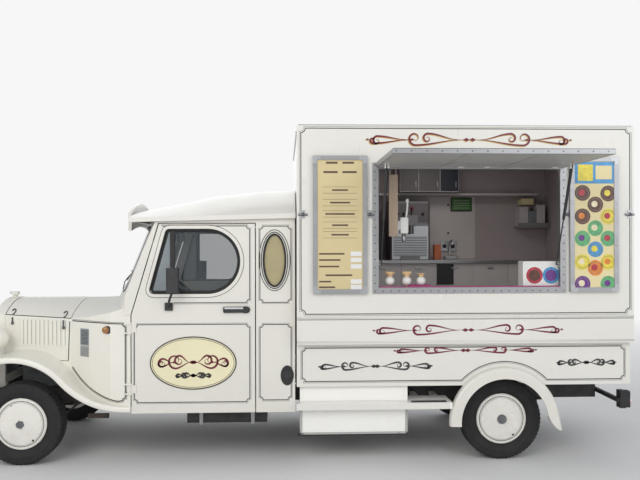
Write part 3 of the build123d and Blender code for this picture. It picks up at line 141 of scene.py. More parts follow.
clothLook = dict(turn=34, diamonds=18.0, start=0.12, end=0.5, dark=0.35, light=1.25, weaveScale=900.0,
                 weaveDetail=2.0, bump=0.5, depth=0.002, rough=0.78, sheen=0.35)


def seatFinish(name, colour):
    # woven silver-grey cloth with a fine diamond pattern
    look = clothLook
    material, tree, shader, place = newMaterial(name)
    waves = []
    for turn in (look["turn"], -look["turn"]):
        spot = addNode(tree, "Mapping", {"Vector": place, "Rotation": (radians(turn), 0, 0)})
        waves.append(addNode(tree, "TexWave", {"Vector": spot, "Scale": look["diamonds"], "Distortion": 0.0}, "Fac",
                             bands_direction="Y"))
    cross = addNode(tree, "Math", {0: waves[0], 1: waves[1]}, operation="MULTIPLY")
    weave = addNoise(tree, place, look["weaveScale"], look["weaveDetail"])
    both = addNode(tree, "Math", {0: weave, 1: cross})
    setInputs(tree, shader, {
        "Base Color": addRamp(tree, cross, colour, look["dark"], look["light"], look["start"], look["end"]),
        "Normal": addNode(tree, "Bump", {"Height": both, "Strength": look["bump"], "Distance": look["depth"]}),
        "Roughness": look["rough"], "Sheen Weight": look["sheen"]})
    return material


bodyPaint = dict(coat=0.35, mottleScale=1.2, grain=0.06, grainScale=90.0, dust=0.14, dustTop=0.75)
sheetPaint = dict(coat=0.2, mottle=0.025, mottleScale=1.0, grain=0.05, grainScale=60.0)
ivory = finish("ivoryPaint", (0.735, 0.715, 0.655), rough=0.32, mottle=0.03, **bodyPaint)
creamPaint = finish("creamPaint", (0.81, 0.79, 0.715), rough=0.33, mottle=0.04, **bodyPaint)
panelWhite = finish("panelWhite", (0.745, 0.73, 0.68), rough=0.3, dust=0.10, dustTop=0.8, **sheetPaint)
# painted light: a lighter copy of the white panel paint, for the lockers and running boards that sit in shade low down
litLockerWhite = finish("litLockerWhite", (0.88, 0.87, 0.83), rough=0.34, dust=0.08, dustTop=0.6, **sheetPaint)
wheelWhite = finish("wheelWhite", (0.82, 0.80, 0.74), rough=0.25, coat=0.4, mottle=0.03, mottleScale=5.0,
                    grain=0.05, grainScale=120.0, dust=0.25, dustTop=0.7)
underBlack = finish("underBlack", (0.022, 0.022, 0.024), rough=0.62, mottle=0.3, mottleScale=9.0, grain=0.4,
                    grainScale=120.0, dust=0.4, dustTop=1.2, dustColour=(0.10, 0.085, 0.07))
rustyBlack = finish("rustyBlack", (0.035, 0.028, 0.024), rough=0.75, mottle=0.5, mottleScale=16.0, grain=0.6,
                    grainScale=90.0, dust=0.5, dustTop=1.2, dustColour=(0.13, 0.09, 0.06))
rubberBlack = finish("rubberBlack", (0.018, 0.018, 0.019), rough=0.6, mottle=0.2, mottleScale=12.0, grain=0.25,
                     grainScale=500.0)
tyreRubber = finish("tyreRubber", (0.022, 0.0212, 0.0225), rough=0.75, mottle=0.25, mottleScale=10.0, grain=0.5,
                    grainScale=350.0, dust=0.14, dustTop=0.7, dustColour=(0.06, 0.055, 0.05))
tyreRubber.node_tree.nodes["Principled BSDF"].inputs["Specular IOR Level"].default_value = 0.32
darkPlastic = finish("darkPlastic", (0.025, 0.025, 0.027), rough=0.5, mottle=0.15, mottleScale=15.0, grain=0.4,
                     grainScale=700.0)
engineMetal = finish("engineMetal", (0.16, 0.165, 0.17), rough=0.55, metal=0.6, mottle=0.3, mottleScale=14.0,
                     grain=0.5, grainScale=140.0)
chromeBright = finish("chromeBright", (0.72, 0.73, 0.74), rough=0.1, metal=1.0, mottleScale=20.0, roughSpread=0.05)
alloyTrim = finish("alloyTrim", (0.36, 0.36, 0.365), rough=0.38, metal=0.85, mottle=0.08, mottleScale=8.0,
                   grain=0.3, grainScale=260.0, stretch=(0.15, 1, 1))
steelBrushed = finish("steelBrushed", (0.42, 0.43, 0.44), rough=0.34, metal=0.8, mottle=0.07, mottleScale=6.0,
                      grain=0.35, grainScale=420.0, stretch=(1, 1, 0.08))
machineSteel = finish("machineSteel", (0.17, 0.165, 0.165), rough=0.36, metal=0.75, mottle=0.08, mottleScale=6.0,
                      grain=0.3, grainScale=420.0, stretch=(1, 1, 0.08))
rivetDark = finish("rivetDark", (0.10, 0.10, 0.105), metal=0.6, mottle=0.2, mottleScale=30.0)
headBright = finish("mirrorFace", (0.75, 0.77, 0.78), rough=0.05, metal=1.0, mottle=0.02, mottleScale=6.0,
                    roughSpread=0.03)
stripeGrey = finish("stripeGrey", (0.045, 0.043, 0.042), mottle=0.2, mottleScale=7.0)
stripeFaint = finish("stripeFaint", (0.20, 0.185, 0.165), mottle=0.2, mottleScale=7.0)
burgundy = finish("burgundySign", (0.16, 0.012, 0.028), rough=0.35, mottle=0.12, mottleScale=5.0)
signGold = finish("signGold", (0.52, 0.37, 0.13), rough=0.35, metal=0.2, mottle=0.15, mottleScale=8.0)
signYellow = finish("signYellow", (0.80, 0.74, 0.50), mottle=0.04, mottleScale=3.0, grain=0.04)
sillMagenta = finish("sillMagenta", (0.36, 0.05, 0.17), mottle=0.12, mottleScale=5.0)
ventGrey = finish("ventGrey", (0.36, 0.365, 0.365), metal=0.3, mottle=0.12, mottleScale=12.0)
plateBlue = finish("plateBlue", (0.27, 0.30, 0.32), rough=0.35, metal=0.5, mottle=0.1, mottleScale=9.0)
plateWhite = finish("plateWhite", (0.74, 0.74, 0.72), rough=0.35, mottle=0.04, mottleScale=6.0, grain=0.05)
cabinetWhite = finish("cabinetWhite", (0.60, 0.57, 0.56), rough=0.42, mottleScale=2.0, grain=0.08, grainScale=200.0)
liningGrey = finish("liningGrey", (0.42, 0.37, 0.375), rough=0.55, mottle=0.06, mottleScale=1.6, grain=0.12,
                    grainScale=150.0)
hatchLining = finish("hatchLining", (0.42, 0.415, 0.40), mottle=0.06, mottleScale=1.5, grain=0.06, grainScale=120.0)
boardYellow = finish("boardYellow", (0.62, 0.51, 0.28), rough=0.5, mottleScale=3.0, grain=0.08, grainScale=200.0)
boardCream = finish("boardCream", (0.74, 0.64, 0.36), rough=0.45, mottle=0.04, mottleScale=3.0, grain=0.08,
                    grainScale=200.0)
boardInk = finish("boardInk", (0.10, 0.055, 0.04), rough=0.5, mottle=0.2, mottleScale=8.0)
panelBeige = finish("panelBeige", (0.47, 0.36, 0.265), rough=0.45, mottleScale=3.0, grain=0.06)
# painted shade: a dark grey standing for the shade inside the servery
paintedShadeGrey = finish("paintedShadeGrey", (0.12, 0.105, 0.11), rough=0.45, mottle=0.06, mottleScale=2.0, grain=0.05)
cupboardBlue = finish("cupboardBlue", (0.006, 0.012, 0.024), rough=0.45, mottle=0.1, mottleScale=4.0, grain=0.05)
palePine = finish("palePine", (0.66, 0.45, 0.24), rough=0.5, mottle=0.22, mottleScale=30.0, grain=0.3,
                  grainScale=200.0, stretch=(1, 1, 0.12))
screenGreen = finish("screenGreen", (0.055, 0.20, 0.03), rough=0.25, mottle=0.25, mottleScale=20.0)
orangePlastic = finish("orangePlastic", (0.55, 0.14, 0.05), mottle=0.1, mottleScale=9.0)
matGrey = finish("matGrey", (0.05, 0.05, 0.052), rough=0.9, mottle=0.3, mottleScale=40.0, grain=0.9, grainScale=600.0)
seatVinyl = finish("seatVinyl", (0.028, 0.029, 0.032), rough=0.45, mottle=0.15, mottleScale=10.0, grain=0.6,
                   grainScale=450.0)
seatCloth = seatFinish("seatCloth", (0.30, 0.31, 0.32))
clearGlass = glassFinish("clearGlass", (0.10, 0.12, 0.13), alpha=0.28)
lensGlass = glassFinish("lensGlass", (0.80, 0.82, 0.82), alpha=0.35)
palePane = glassFinish("palePane", (0.30, 0.34, 0.36), rough=0.10, alpha=0.72, mottle=0.25)
goldGlass = glassFinish("goldGlass", (0.43, 0.365, 0.20), rough=0.22, alpha=0.93, mottle=0.12)
amberLens = glassFinish("amberLens", (0.75, 0.23, 0.02), rough=0.12, alpha=0.95, mottle=0.2)
redLens = glassFinish("redLens", (0.60, 0.012, 0.010), rough=0.12, alpha=0.97, mottle=0.25)
repeaterAmber = glassFinish("repeaterAmber", (0.36, 0.15, 0.035), rough=0.14, alpha=0.96, mottle=0.25)
discFinishes = [finish(name, colour, rough=0.3, mottle=mottle, mottleScale=35.0) for name, colour, mottle in (
    ("discCocoa", (0.10, 0.035, 0.02), 0.35), ("discBerry", (0.42, 0.03, 0.05), 0.3),
    ("discLemon", (0.72, 0.60, 0.06), 0.2), ("discSky", (0.06, 0.28, 0.55), 0.25),
    ("discVanilla", (0.74, 0.66, 0.45), 0.2), ("discPlum", (0.14, 0.03, 0.22), 0.3),
    ("discOrange", (0.68, 0.22, 0.03), 0.25), ("discMint", (0.10, 0.40, 0.16), 0.25))]
cocoa, berry, lemon, sky, vanilla, plum, orange, mint = range(8)        # places in discFinishes

nodeFinishes = {
    underBlack: "chassis_frame fuel_tank exhaust",
    rustyBlack: "front_axle rear_axle knuckle_left knuckle_right tie_rod",
    engineMetal: "engine_block",
    creamPaint: "front_wings bonnet_left bonnet_right bonnet_sides scuttle radiator_shell headlamps",
    ivory: "cab_shell cab_roof roof_headboard door_left door_right rear_wings",
    panelWhite: "box_left_wall box_right_wall box_end_walls box_roof body_skirts rear_door serving_hatch",
    litLockerWhite: "running_boards",
    chromeBright: "radiator_grille front_bumper",
    lensGlass: "headlamp_lenses",
    clearGlass: "windscreen door_glass_left door_glass_right",
    goldGlass: "quarter_windows",
    darkPlastic: "dashboard steering_wheel seat_frames stay_tubes stay_rods mirror_left mirror_right cab_floor",
    cabinetWhite: "servery_cabinets box_floor",
    alloyTrim: "serving_frame menu_boards",
    machineSteel: "ice_cream_machine",
    tyreRubber: "tyre_front_left tyre_front_right tyre_rear_left tyre_rear_right",
    wheelWhite: "wheel_front_left wheel_front_right wheel_rear_left wheel_rear_right",
    rubberBlack: "rear_lamps",
}
for material, names in nodeFinishes.items():
    for name in names.split():
        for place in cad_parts[name].material_slots:
            place.material = material
for name in ("cab_roof", "scuttle", "bonnet_left", "bonnet_right", "front_wings", "rear_wings", "headlamps",
             "headlamp_lenses", "windscreen"):
    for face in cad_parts[name].data.polygons:
        face.use_smooth = True
print("finishes made, CAD pieces finished")


# piece makers
rounding = dict(segments=2, limit=35)


def keep(piece, material, body, smooth=False, bevel=0.0, segments=rounding["segments"]):
    piece.data.materials.append(material)
    if smooth:
        for face in piece.data.polygons:
            face.use_smooth = True
    if bevel:
        edge = piece.modifiers.new("rounding", "BEVEL")
        edge.width = bevel / 1000
        edge.segments = segments
        edge.limit_method = "ANGLE"
        edge.angle_limit = radians(rounding["limit"])
        edge.harden_normals = True
    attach(piece, body)
    return piece


def addObject(name, data):
    piece = bpy.data.objects.new(name, data)
    bpy.context.collection.objects.link(piece)
    return piece


def meshPiece(name, shape, material, body="truck", **more):
    points, faces = shape
    mesh = bpy.data.meshes.new(name)
    mesh.from_pydata([tuple(point) for point in points], [], faces)
    maker = bmesh.new()
    maker.from_mesh(mesh)
    bmesh.ops.recalc_face_normals(maker, faces=maker.faces)
    maker.to_mesh(mesh)
    maker.free()
    return keep(addObject(name, mesh), material, body, **more)


def joined(parts):
    points, faces = [], []
    for somePoints, someFaces in parts:
        start = len(points)
        points += somePoints
        faces += [tuple(index + start for index in face) for face in someFaces]
    return points, faces


def gridFaces(rows, width, closed=True, wrap=False):
    # squares between neighbouring rows of points; wrap joins each row's ends too
    faces = []
    for row in range(rows if closed else rows - 1):
        a, b = row * width, (row + 1) % rows * width
        for k in range(width if wrap else width - 1):
            m = (k + 1) % width
            faces.append((a + k, a + m, b + m, b + k))
    return faces


def prism(outline, near, far):
    # a flat outline in X and Z between two values of Y, which may be functions of X and Z
    total = len(outline)
    points = [at(x, y(x, z) if callable(y) else y, z) for y in (near, far) for x, z in outline]
    return points, gridFaces(2, total, False, True) + [tuple(range(total)), tuple(range(total, 2 * total))]


def block(low, high):
    xs, ys, zs = (sorted(pair) for pair in zip(low, high))
    points = [at(x, y, z) for x in xs for y in ys for z in zs]
    return points, [(0, 1, 3, 2), (4, 6, 7, 5), (0, 4, 5, 1), (2, 3, 7, 6), (0, 2, 6, 4), (1, 5, 7, 3)]


def box(name, low, high, material, bevel=0, body="truck", **more):
    return meshPiece(name, block(low, high), material, body, bevel=bevel, **more)


def roundBox(name, low, high, material, radius, body="truck", segments=3):
    return box(name, low, high, material, radius, body, segments=segments)


def lathe(profile, centre, axis, turns=32):
    # profile: (distance along the axis, radius), in mm
    axis = Vector(axis).normalized()
    side = axis.orthogonal().normalized()
    other = axis.cross(side)
    origin = at(*centre)
    points = []
    for count in range(turns):
        angle = 2 * pi * count / turns
        out = side * cos(angle) + other * sin(angle)
        points += [origin + axis * (along / 1000) + out * (radius / 1000) for along, radius in profile]
    rows = len(profile)
    faces = gridFaces(turns, rows)
    for row in (0, rows - 1):
        if profile[row][1]:
            faces.append(tuple(count * rows + row for count in range(turns)))
    return points, faces


def turned(name, profile, centre, axis, turns, material, body="truck", **more):
    return meshPiece(name, lathe(profile, centre, axis, turns), material, body, **more)


def outwards(points, distance, closed=True):
    # a flat line moved sideways, with mitred corners
    moved = []
    total = len(points)
    for index, point in enumerate(points):
        before = points[index - 1] if closed or index > 0 else None
        after = points[(index + 1) % total] if closed or index < total - 1 else None
        normals = []
        for one, two in ((before, point), (point, after)):
            if one and two:
                dx, dy = two[0] - one[0], two[1] - one[1]
                length = hypot(dx, dy) or 1
                normals.append((dy / length, -dx / length))
        nx, ny, scale = *normals[0], 1
        if len(normals) == 2:
            nx, ny = normals[0][0] + normals[1][0], normals[0][1] + normals[1][1]
            length = hypot(nx, ny) or 1
            nx, ny = nx / length, ny / length
            scale = 1 / max(0.4, nx * normals[0][0] + ny * normals[0][1])
        moved.append((point[0] + nx * distance * scale, point[1] + ny * distance * scale))
    return moved


def stripe(points, width, surface, lift=0.5, closed=True):
    # a flat painted line on a side: points are (X, Z), surface(x, z) gives the signed Y
    rows = []
    for (x0, z0), (x1, z1) in zip(outwards(points, -width / 2, closed), outwards(points, width / 2, closed)):
        y0, y1 = surface(x0, z0), surface(x1, z1)
        raised = lift if y0 > 0 else -lift
        rows += [at(x0, y0, z0), at(x0, y0 + raised, z0), at(x1, y1 + raised, z1), at(x1, y1, z1)]
    return rows, gridFaces(len(points), 4, closed)


def arcPoints(centreX, centreZ, radius, start, end, count, radiusZ=None):
    angles = [radians(start + (end - start) * step / count) for step in range(count + 1)]
    return [(centreX + radius * cos(angle), centreZ + (radiusZ or radius) * sin(angle)) for angle in angles]


def oval(centreX, centreZ, halfX, halfZ, turns):
    return arcPoints(centreX, centreZ, halfX, 0, 360, turns, halfZ)[:-1]


def notchedPanel(x0, x1, z0, z1, notch):
    # a rectangle whose corners are cut by hollow quarter rounds
    line = []
    for cornerX, cornerZ, start in ((x0, z0, 90), (x1, z0, 180), (x1, z1, 270), (x0, z1, 0)):
        line += arcPoints(cornerX, cornerZ, notch, start, start - 90, 6)
    return line


def dense(line, step):
    # the same line with a point at least every few millimetres, for curved panels
    full = []
    for (x0, z0), (x1, z1) in zip(line, line[1:]):
        count = max(1, int(hypot(x1 - x0, z1 - z0) / step))
        full += [(x0 + (x1 - x0) * k / count, z0 + (z1 - z0) * k / count) for k in range(count)]
    return full + [line[-1]]


def twinStripe(name, line, surface, body="truck", closed=True, gap=12, thick=7.0, thin=3.2, inside=-1):
    lift = 1.6 if inside > 0 else 0.5
    meshPiece(name + "Dark", stripe(line, thick, surface, lift, closed), stripeGrey, body)
    meshPiece(name + "Faint", stripe(outwards(line, -inside * gap, closed), thin, surface, lift, closed), stripeFaint,
              body)


def sweep(path, section, normal, closed=True):
    # a small section of (out, across) points carried along a line of places
    points = []
    total, rows = len(path), len(section)
    for index, point in enumerate(path):
        before = path[index - 1] if closed or index > 0 else point
        after = path[(index + 1) % total] if closed or index < total - 1 else point
        across = (after - before).normalized().cross(normal).normalized()
        points += [point + normal * (out / 1000) + across * (side / 1000) for out, side in section]
    faces = gridFaces(total, rows, closed, True)
    if not closed:
        faces += [tuple(range(rows)), tuple((total - 1) * rows + k for k in range(rows))]
    return points, faces


def roundSection(width, height, count=8):
    return [(height * sin(pi * k / count), width / 2 * cos(pi * k / count)) for k in range(count + 1)]


def pipe(name, route, radius, material, body="truck", closed=False):
    curve = bpy.data.curves.new(name, "CURVE")
    curve.dimensions = "3D"
    curve.bevel_depth = radius / 1000
    curve.bevel_resolution = 3
    curve.use_fill_caps = True
    line = curve.splines.new("POLY")
    line.points.add(len(route) - 1)
    for point, place in zip(line.points, route):
        point.co = (*place, 1)
    line.use_cyclic_u = closed
    keep(addObject(name, curve), material, body)


def smoothRoute(corners, steps=6):
    # an even curve through a few corner points
    corners = [at(*corner) for corner in corners]
    route = []
    for index in range(len(corners) - 1):
        p0, p1, p2 = corners[max(index - 1, 0)], corners[index], corners[index + 1]
        p3 = corners[min(index + 2, len(corners) - 1)]
        for t in (step / steps for step in range(steps)):
            route.append(0.5 * ((2 * p1) + (p2 - p0) * t + (2 * p0 - 5 * p1 + 4 * p2 - p3) * t * t
                                + (3 * p1 - p0 - 3 * p2 + p3) * t * t * t))
    return route + [corners[-1]]


def flatSide(offset):
    return lambda x, z: offset


def castSide(node, sign, fallback):
    # the outer face of a CAD piece, as seen from one side of the truck
    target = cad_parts[node]
    inverse = target.matrix_world.inverted()
    aim = (inverse.to_3x3() @ Vector((0, -sign, 0))).normalized()

    def surface(x, z):
        hit, place, normal, index = target.ray_cast(inverse @ at(x, sign * 1600, z), aim)
        return ((target.matrix_world @ place).y - shiftY) * 1000 if hit else sign * fallback
    return surface


def castFront(node, fallback, fromX=-1500, way=1):
    # the front or rear face of a CAD piece: X for a place given as Y, Z
    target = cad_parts[node]
    inverse = target.matrix_world.inverted()
    aim = (inverse.to_3x3() @ Vector((way, 0, 0))).normalized()

    def surface(y, z):
        hit, place, normal, index = target.ray_cast(inverse @ at(fromX, y, z), aim)
        if hit:
            return ((target.matrix_world @ place).x - shiftX) * 1000
        return fallback(y, z) if callable(fallback) else fallback
    return surface


def ribbon(line, widths, surface, lift=0.6):
    # a painted stroke whose width changes along it
    points = []
    widths = widths if isinstance(widths, list) else [widths] * len(line)
    for (x, z), (lx, lz), width in zip(line, outwards(line, 1, False), widths):
        dx, dz = (lx - x) * width / 2, (lz - z) * width / 2
        for px, pz in ((x + dx, z + dz), (x - dx, z - dz)):
            y = surface(px, pz)
            points.append(at(px, y + (lift if y > 0 else -lift), pz))
    return points, gridFaces(len(line), 2, False)


def studs(name, places, out, radius, height, material, body="truck"):
    # small domed rivet or screw heads, all in one piece
    profile = [(0, radius), (height * 0.6, radius * 0.85), (height, radius * 0.35), (height * 1.05, 0)]
    meshPiece(name, joined([lathe(profile, place, out, 8) for place in places]), material, body, smooth=True)


def ovalPlate(centreX, centreZ, halfX, halfZ, low, high, edge, turns):
    # an oval plate on a side: low and high are signed Y
    way = 1 if high > low else -1
    points = []
    for y, inset in ((low, 0), (high - way * edge, 0), (high, edge)):
        points += [at(x, y, z) for x, z in oval(centreX, centreZ, halfX - inset, halfZ - inset, turns)]
    return points, gridFaces(3, turns, False, True) + [tuple(2 * turns + k for k in range(turns)), tuple(range(turns))]


# painted lines
cabLine = dict(gap=9, thick=6.5, thin=3)
skirtLine = dict(front=2163, rear=4600, low=640, high=893, archX=3692, archZ=318, archRadius=462, corner=26)
for sign, side in sides:
    boxSide, skirtSide = flatSide(sign * truckSize["boxOut"]), flatSide(sign * truckSize["skirtOut"])
    twinStripe("boxPanelLine" + side, notchedPanel(2133, 4648, 1156, 2555, 34), boxSide)
    for name, z in (("upper", 1126), ("lower", 945)):        # bands over and under the servery's lower strip
        rail = [at(truckSize[end], sign * truckSize["boxOut"], z) for end in ("boxFront", "boxRear")]
        meshPiece(f"{name}Band{side}", sweep(rail, roundSection(14, 7), Vector((0, sign, 0)), False), panelWhite,
                  smooth=True)
    meshPiece("bandLine" + side, stripe([(2104, 1113), (4676, 1113)], 4, boxSide, closed=False), stripeGrey)
    s = skirtLine        # the skirt's line goes over the wheel
    line = [(s["front"], s["low"]), (3340, s["low"])]
    line += arcPoints(s["archX"], s["archZ"], s["archRadius"], 136, 44, 24) + [(4040, s["low"]), (s["rear"], s["low"])]
    line += arcPoints(s["rear"] + 26, s["low"], s["corner"], 180, 90, 5)[1:]
    line += arcPoints(s["rear"] + 26, s["high"], s["corner"], 270, 180, 5)
    line += arcPoints(s["front"] - 22, s["high"], s["corner"], 0, -90, 5)
    line += arcPoints(s["front"] - 22, s["low"], s["corner"], 90, 0, 5)[:-1]
    twinStripe("skirtLine" + side, line, skirtSide, gap=10)
    doorBody, doorSide = "door_" + side.lower(), flatSide(sign * truckSize["doorOut"])
    twinStripe("doorLowerLine" + side, notchedPanel(876, 1744, 488, 1076, 24), doorSide, doorBody, **cabLine)
    line = [(1170, 1240)] + arcPoints(1744, 1240, 24, 180, 90, 5) + arcPoints(1744, 1822, 24, 270, 180, 5)
    twinStripe("doorUpperLine" + side, line + [(1080, 1822)], doorSide, doorBody, closed=False, **cabLine)
    for name, z0, z1 in (("Lower", 499, 1072), ("Upper", 1240, 1820)):
        twinStripe(f"quarter{name}Line{side}", notchedPanel(1822, 2058, z0, z1, 24), doorSide, **cabLine)
    # scuttle: along the top, down the rear, and back along the wing's sweep
    line = [(334, 1080), (760, 1080)] + arcPoints(804, 1080, 22, 180, 270, 5) + arcPoints(804, 500, 22, 90, 180, 5)
    line += [(x, z) for x, z in reversed(arcPoints(803.4, 1082.1, 594, 218, 267, 16)) if x < 770]
    twinStripe("scuttleLine" + side, dense(line, 16), castSide("scuttle", sign, 850), closed=False, gap=10, thick=8,
               thin=4, inside=1)
print("painted lines")

# tyres and wheels
tyreSize = dict(middle=747.5, turns=240, slotDepth=6.0, blocks=4, sharp=38)
tyreHalf = [(66, 199), (70, 203), (77, 212), (85, 226), (90.5, 243), (92, 252), (91.9, 262), (90.6, 264), (91.4, 267),
            (90.9, 280), (89.6, 282), (90.2, 285), (87.5, 296), (84.5, 303), (81, 308), (77, 310.5), (66, 312.6),
            (59.5, 313.2), (58.5, 306.5), (54, 306.5), (53, 313.7), (40, 314.2), (29, 314.6), (28, 307.2),
            (23, 307.2), (22, 314.8), (12, 315), (3.6, 315), (2.6, 308), (0, 308)]        # (across, radius)
blockRows = {14, 15, 16, 17, 20, 21, 22}        # rows of tyreHalf that the cross slots cut
rimBead = [(-1, 190), (1.6, 189.5), (2.8, 187.5), (1.6, 185.5), (-1, 185)]
hubSize = dict(front=31, rear=35, frontTurns=6, rearTurns=24, farthest=852, proud=8.5)


def makeTyre(end, side, sign, centreX):
    profile = tyreHalf + [(-across, radius) for across, radius in reversed(tyreHalf[:-1])]
    cut = [row in blockRows for row in range(len(tyreHalf))]
    cut += reversed(cut[:-1])
    points = []
    for count in range(tyreSize["turns"]):
        angle = 2 * pi * count / tyreSize["turns"]
        for row, (across, radius) in enumerate(profile):
            shift = tyreSize["blocks"] // 2 if (row // 12) % 2 else 0        # the slots are staggered
            if cut[row] and (count + shift) % tyreSize["blocks"] == 0:
                radius -= tyreSize["slotDepth"]
            points.append(at(centreX + radius * cos(angle), sign * tyreSize["middle"] + across,
                             truckSize["axleHigh"] + radius * sin(angle)))
    shape = points, gridFaces(tyreSize["turns"], len(profile), True, True)
    tyre = meshPiece(f"treadedTyre.{end}.{side}", shape, tyreRubber, f"road_wheel_{end}_{side}", smooth=True)
    tyre.data.set_sharp_from_angle(angle=radians(tyreSize["sharp"]))
    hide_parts(f"tyre_{end}_{side}")


def makeTrim(end, side, sign, centreX):
    # painted rings, a bright bead, the hub nut and a valve on the wheel's trim
    body, tag, middle = f"road_wheel_{end}_{side}", f".{end}.{side}", truckSize["axleHigh"]
    face = castSide(f"wheel_{end}_{side}", sign, 800)
    for radius, width, name in ((173, 5.5, "rimShade"), (163, 2.0, "rimFine")):
        meshPiece(name + tag, stripe(oval(centreX, middle, radius, radius, 72), width, face), stripeGrey, body)
    turned("rimBead" + tag, rimBead, (centreX, face(centreX, middle + 180), middle), (0, sign, 0), 72, wheelWhite, body,
           smooth=True)
    out = face(centreX, middle + 12)
    cap = hubSize[end]
    thin = min(hubSize["proud"], max(0.0, hubSize["farthest"] - abs(out))) / 9        # flatter where there is no room
    nut = [(-16, cap + 1), (-3, cap + 1), (thin, cap - 1), (3 * thin, cap - 6), (4.5 * thin, 9), (8.5 * thin, 8),
           (9 * thin, 0)]
    turned("hubCap" + tag, nut, (centreX, out, middle), (0, sign, 0), hubSize[end + "Turns"], engineMetal, body,
           bevel=1.5)
    turned("hubDome" + tag, [(-3.8, 26.6), (0.6, 10.6), (0.9, 9.5), (0.9, 0)], (centreX, face(centreX, middle), middle),
           (0, sign, 0), 24, engineMetal, body, smooth=True)
    if end == "front":
        turned("valve" + tag, [(-10, 9), (1, 9), (2, 5), (10, 4), (11, 0)],
               (centreX - 71, face(centreX - 71, 454) - sign * 6, 454), (0, sign, 0), 10, rubberBlack, body)


for end, centreX in (("front", 0), ("rear", truckSize["wheelbase"])):
    for sign, side in sides:
        makeTyre(end, side.lower(), sign, centreX)
        makeTrim(end, side.lower(), sign, centreX)
print("tyres and wheels")

# windows
doorWindow = dict(radius=241, middleX=1427, middleZ=1554, frontLow=985, frontHigh=1118, corner=34, divider=1142)
ovalWindow = dict(x=1933, z=1560, halfX=86, halfZ=200)
screenSize = dict(foot=803, footZ=1290, lean=22, bow=150, half=860, sealY=684, sealLow=1370, sealHigh=1752, corner=58)


def cornerArc(corner, before, after, radius, steps=5):
    # the corner of a line, rounded between its two neighbours
    corner = Vector(corner)
    ways = [(Vector(other) - corner).normalized() for other in (before, after)]
    one, two = (corner + way * radius / tan(ways[0].angle(ways[1]) / 2) for way in ways)
    return [tuple(one.lerp(corner, t).lerp(corner.lerp(two, t), t))
            for t in (step / steps for step in range(steps + 1))]


def windowLine(grow):
    w = doorWindow
    low, high = (w["frontLow"], w["middleZ"] - w["radius"]), (w["frontHigh"], w["middleZ"] + w["radius"])
    rear = arcPoints(w["middleX"], w["middleZ"], w["radius"], -90, 90, 28)
    return outwards(cornerArc(low, high, rear[0], w["corner"]) + rear + cornerArc(high, rear[-1], low, w["corner"]),
                    grow)


def roundSeal(name, line, width, height, y, body="truck"):
    shape = sweep([at(x, y, z) for x, z in line], roundSection(width, height, 6), Vector((0, 1 if y > 0 else -1, 0)))
    meshPiece(name, shape, rubberBlack, body, smooth=True)


for sign, side in sides:
    doorBody = "door_" + side.lower()
    roundSeal("doorSeal" + side, windowLine(-9), 20, 10, sign * 897, doorBody)
    roundSeal("doorSealOut" + side, windowLine(2), 10, 4, sign * 921, doorBody)
    meshPiece("mouldingLine" + side, stripe(windowLine(33), 4, flatSide(sign * truckSize["doorOut"])), stripeGrey,
              doorBody)
    w = ovalWindow
    roundSeal("ovalSeal" + side, oval(w["x"], w["z"], w["halfX"], w["halfZ"], 48), 20, 12, sign * 911)
    for grow, width in ((12, 8), (30, 6)):
        ring = oval(w["x"], w["z"], w["halfX"] + 2 + grow, w["halfZ"] + 2 + grow, 64)
        meshPiece(f"ovalRing{side}{grow}", stripe(ring, width, castSide("cab_shell", sign, 921), 0.8), stripeGrey)
    # the quarter light, a pale grey pane that is mostly opaque, and the door window's leading divider
    x = doorWindow["divider"]
    pane = [point for point in dense(windowLine(-4), 30) if point[0] < x] + [(x, 1780), (x, 1330)]
    pane.sort(key=lambda point: atan2(point[1] - 1500, point[0] - 1090))
    meshPiece("quarterLight" + side, prism(pane, sign * 894, sign * 897), palePane, doorBody)
    box("dividerRubber" + side, (x, sign * 879, 1310), (x + 34, sign * 906, 1798), rubberBlack, 3, doorBody)


def screenGuess(y, z):
    # the glass bulges in the middle and leans back
    s = screenSize
    return s["foot"] + (z - s["footZ"]) * tan(radians(s["lean"])) - s["bow"] * (1 - (y / s["half"]) ** 2) + 6


screenFace = castFront("windscreen", screenGuess)
screenNormal = Vector((-cos(radians(screenSize["lean"])), 0, sin(radians(screenSize["lean"]))))


def screenPoint(y, z, out=0.0):
    return at(screenFace(y, z), y, z) + screenNormal * (out / 1000)


screenLine, sealPath = [], []
y, low, high = (screenSize[key] for key in ("sealY", "sealLow", "sealHigh"))
for cornerY, cornerZ, start in ((y, low, -90), (y, high, 0), (-y, high, 90), (-y, low, 180)):
    screenLine += arcPoints(cornerY, cornerZ, screenSize["corner"], start, start + 90, 6)
for (y0, z0), (y1, z1) in zip(screenLine, screenLine[1:] + screenLine[:1]):
    steps = max(1, int(hypot(y1 - y0, z1 - z0) / 90))
    sealPath += [screenPoint(y0 + (y1 - y0) * k / steps, z0 + (z1 - z0) * k / steps) for k in range(steps)]
meshPiece("screenSeal", sweep(sealPath, roundSection(34, 13, 6), screenNormal), rubberBlack, smooth=True)
for sign, side in sides:        # wipers, parked at the foot of the glass
    foot, tip = screenPoint(sign * 560, 1322, 16), screenPoint(sign * 130, 1400, 20)
    pipe("wiperArm" + side, [foot, foot.lerp(tip, 0.5) + screenNormal * 0.012, tip], 4, rubberBlack)
    blade = [screenPoint(sign * (250 - k * 45), 1378 + k * 9, 9) for k in range(9)]
    meshPiece("wiperBlade" + side, sweep(blade, [(0, -3), (0, 3), (14, 2), (14, -2)], screenNormal, False), rubberBlack)
print("windows")


# a made-up ornament, where the lettering would be
strokeShape = dict(runSteps=14, curlSteps=30, spiral=0.86, fine=2.5, swell=13, power=1.2, tail=5, tailStart=0.8,
                   ball=0.62)
strokes = ((0.06, 0.46, -0.5, 1.0, 1.2, 1), (0.10, 0.30, 0.55, 0.7, 1.15, -1), (0.60, 0.28, 0.3, 0.65, 1.1, -1),
           (0.56, 0.36, -0.35, 0.45, 1.1, 1))        # start, run, rise, ball, curl, flip


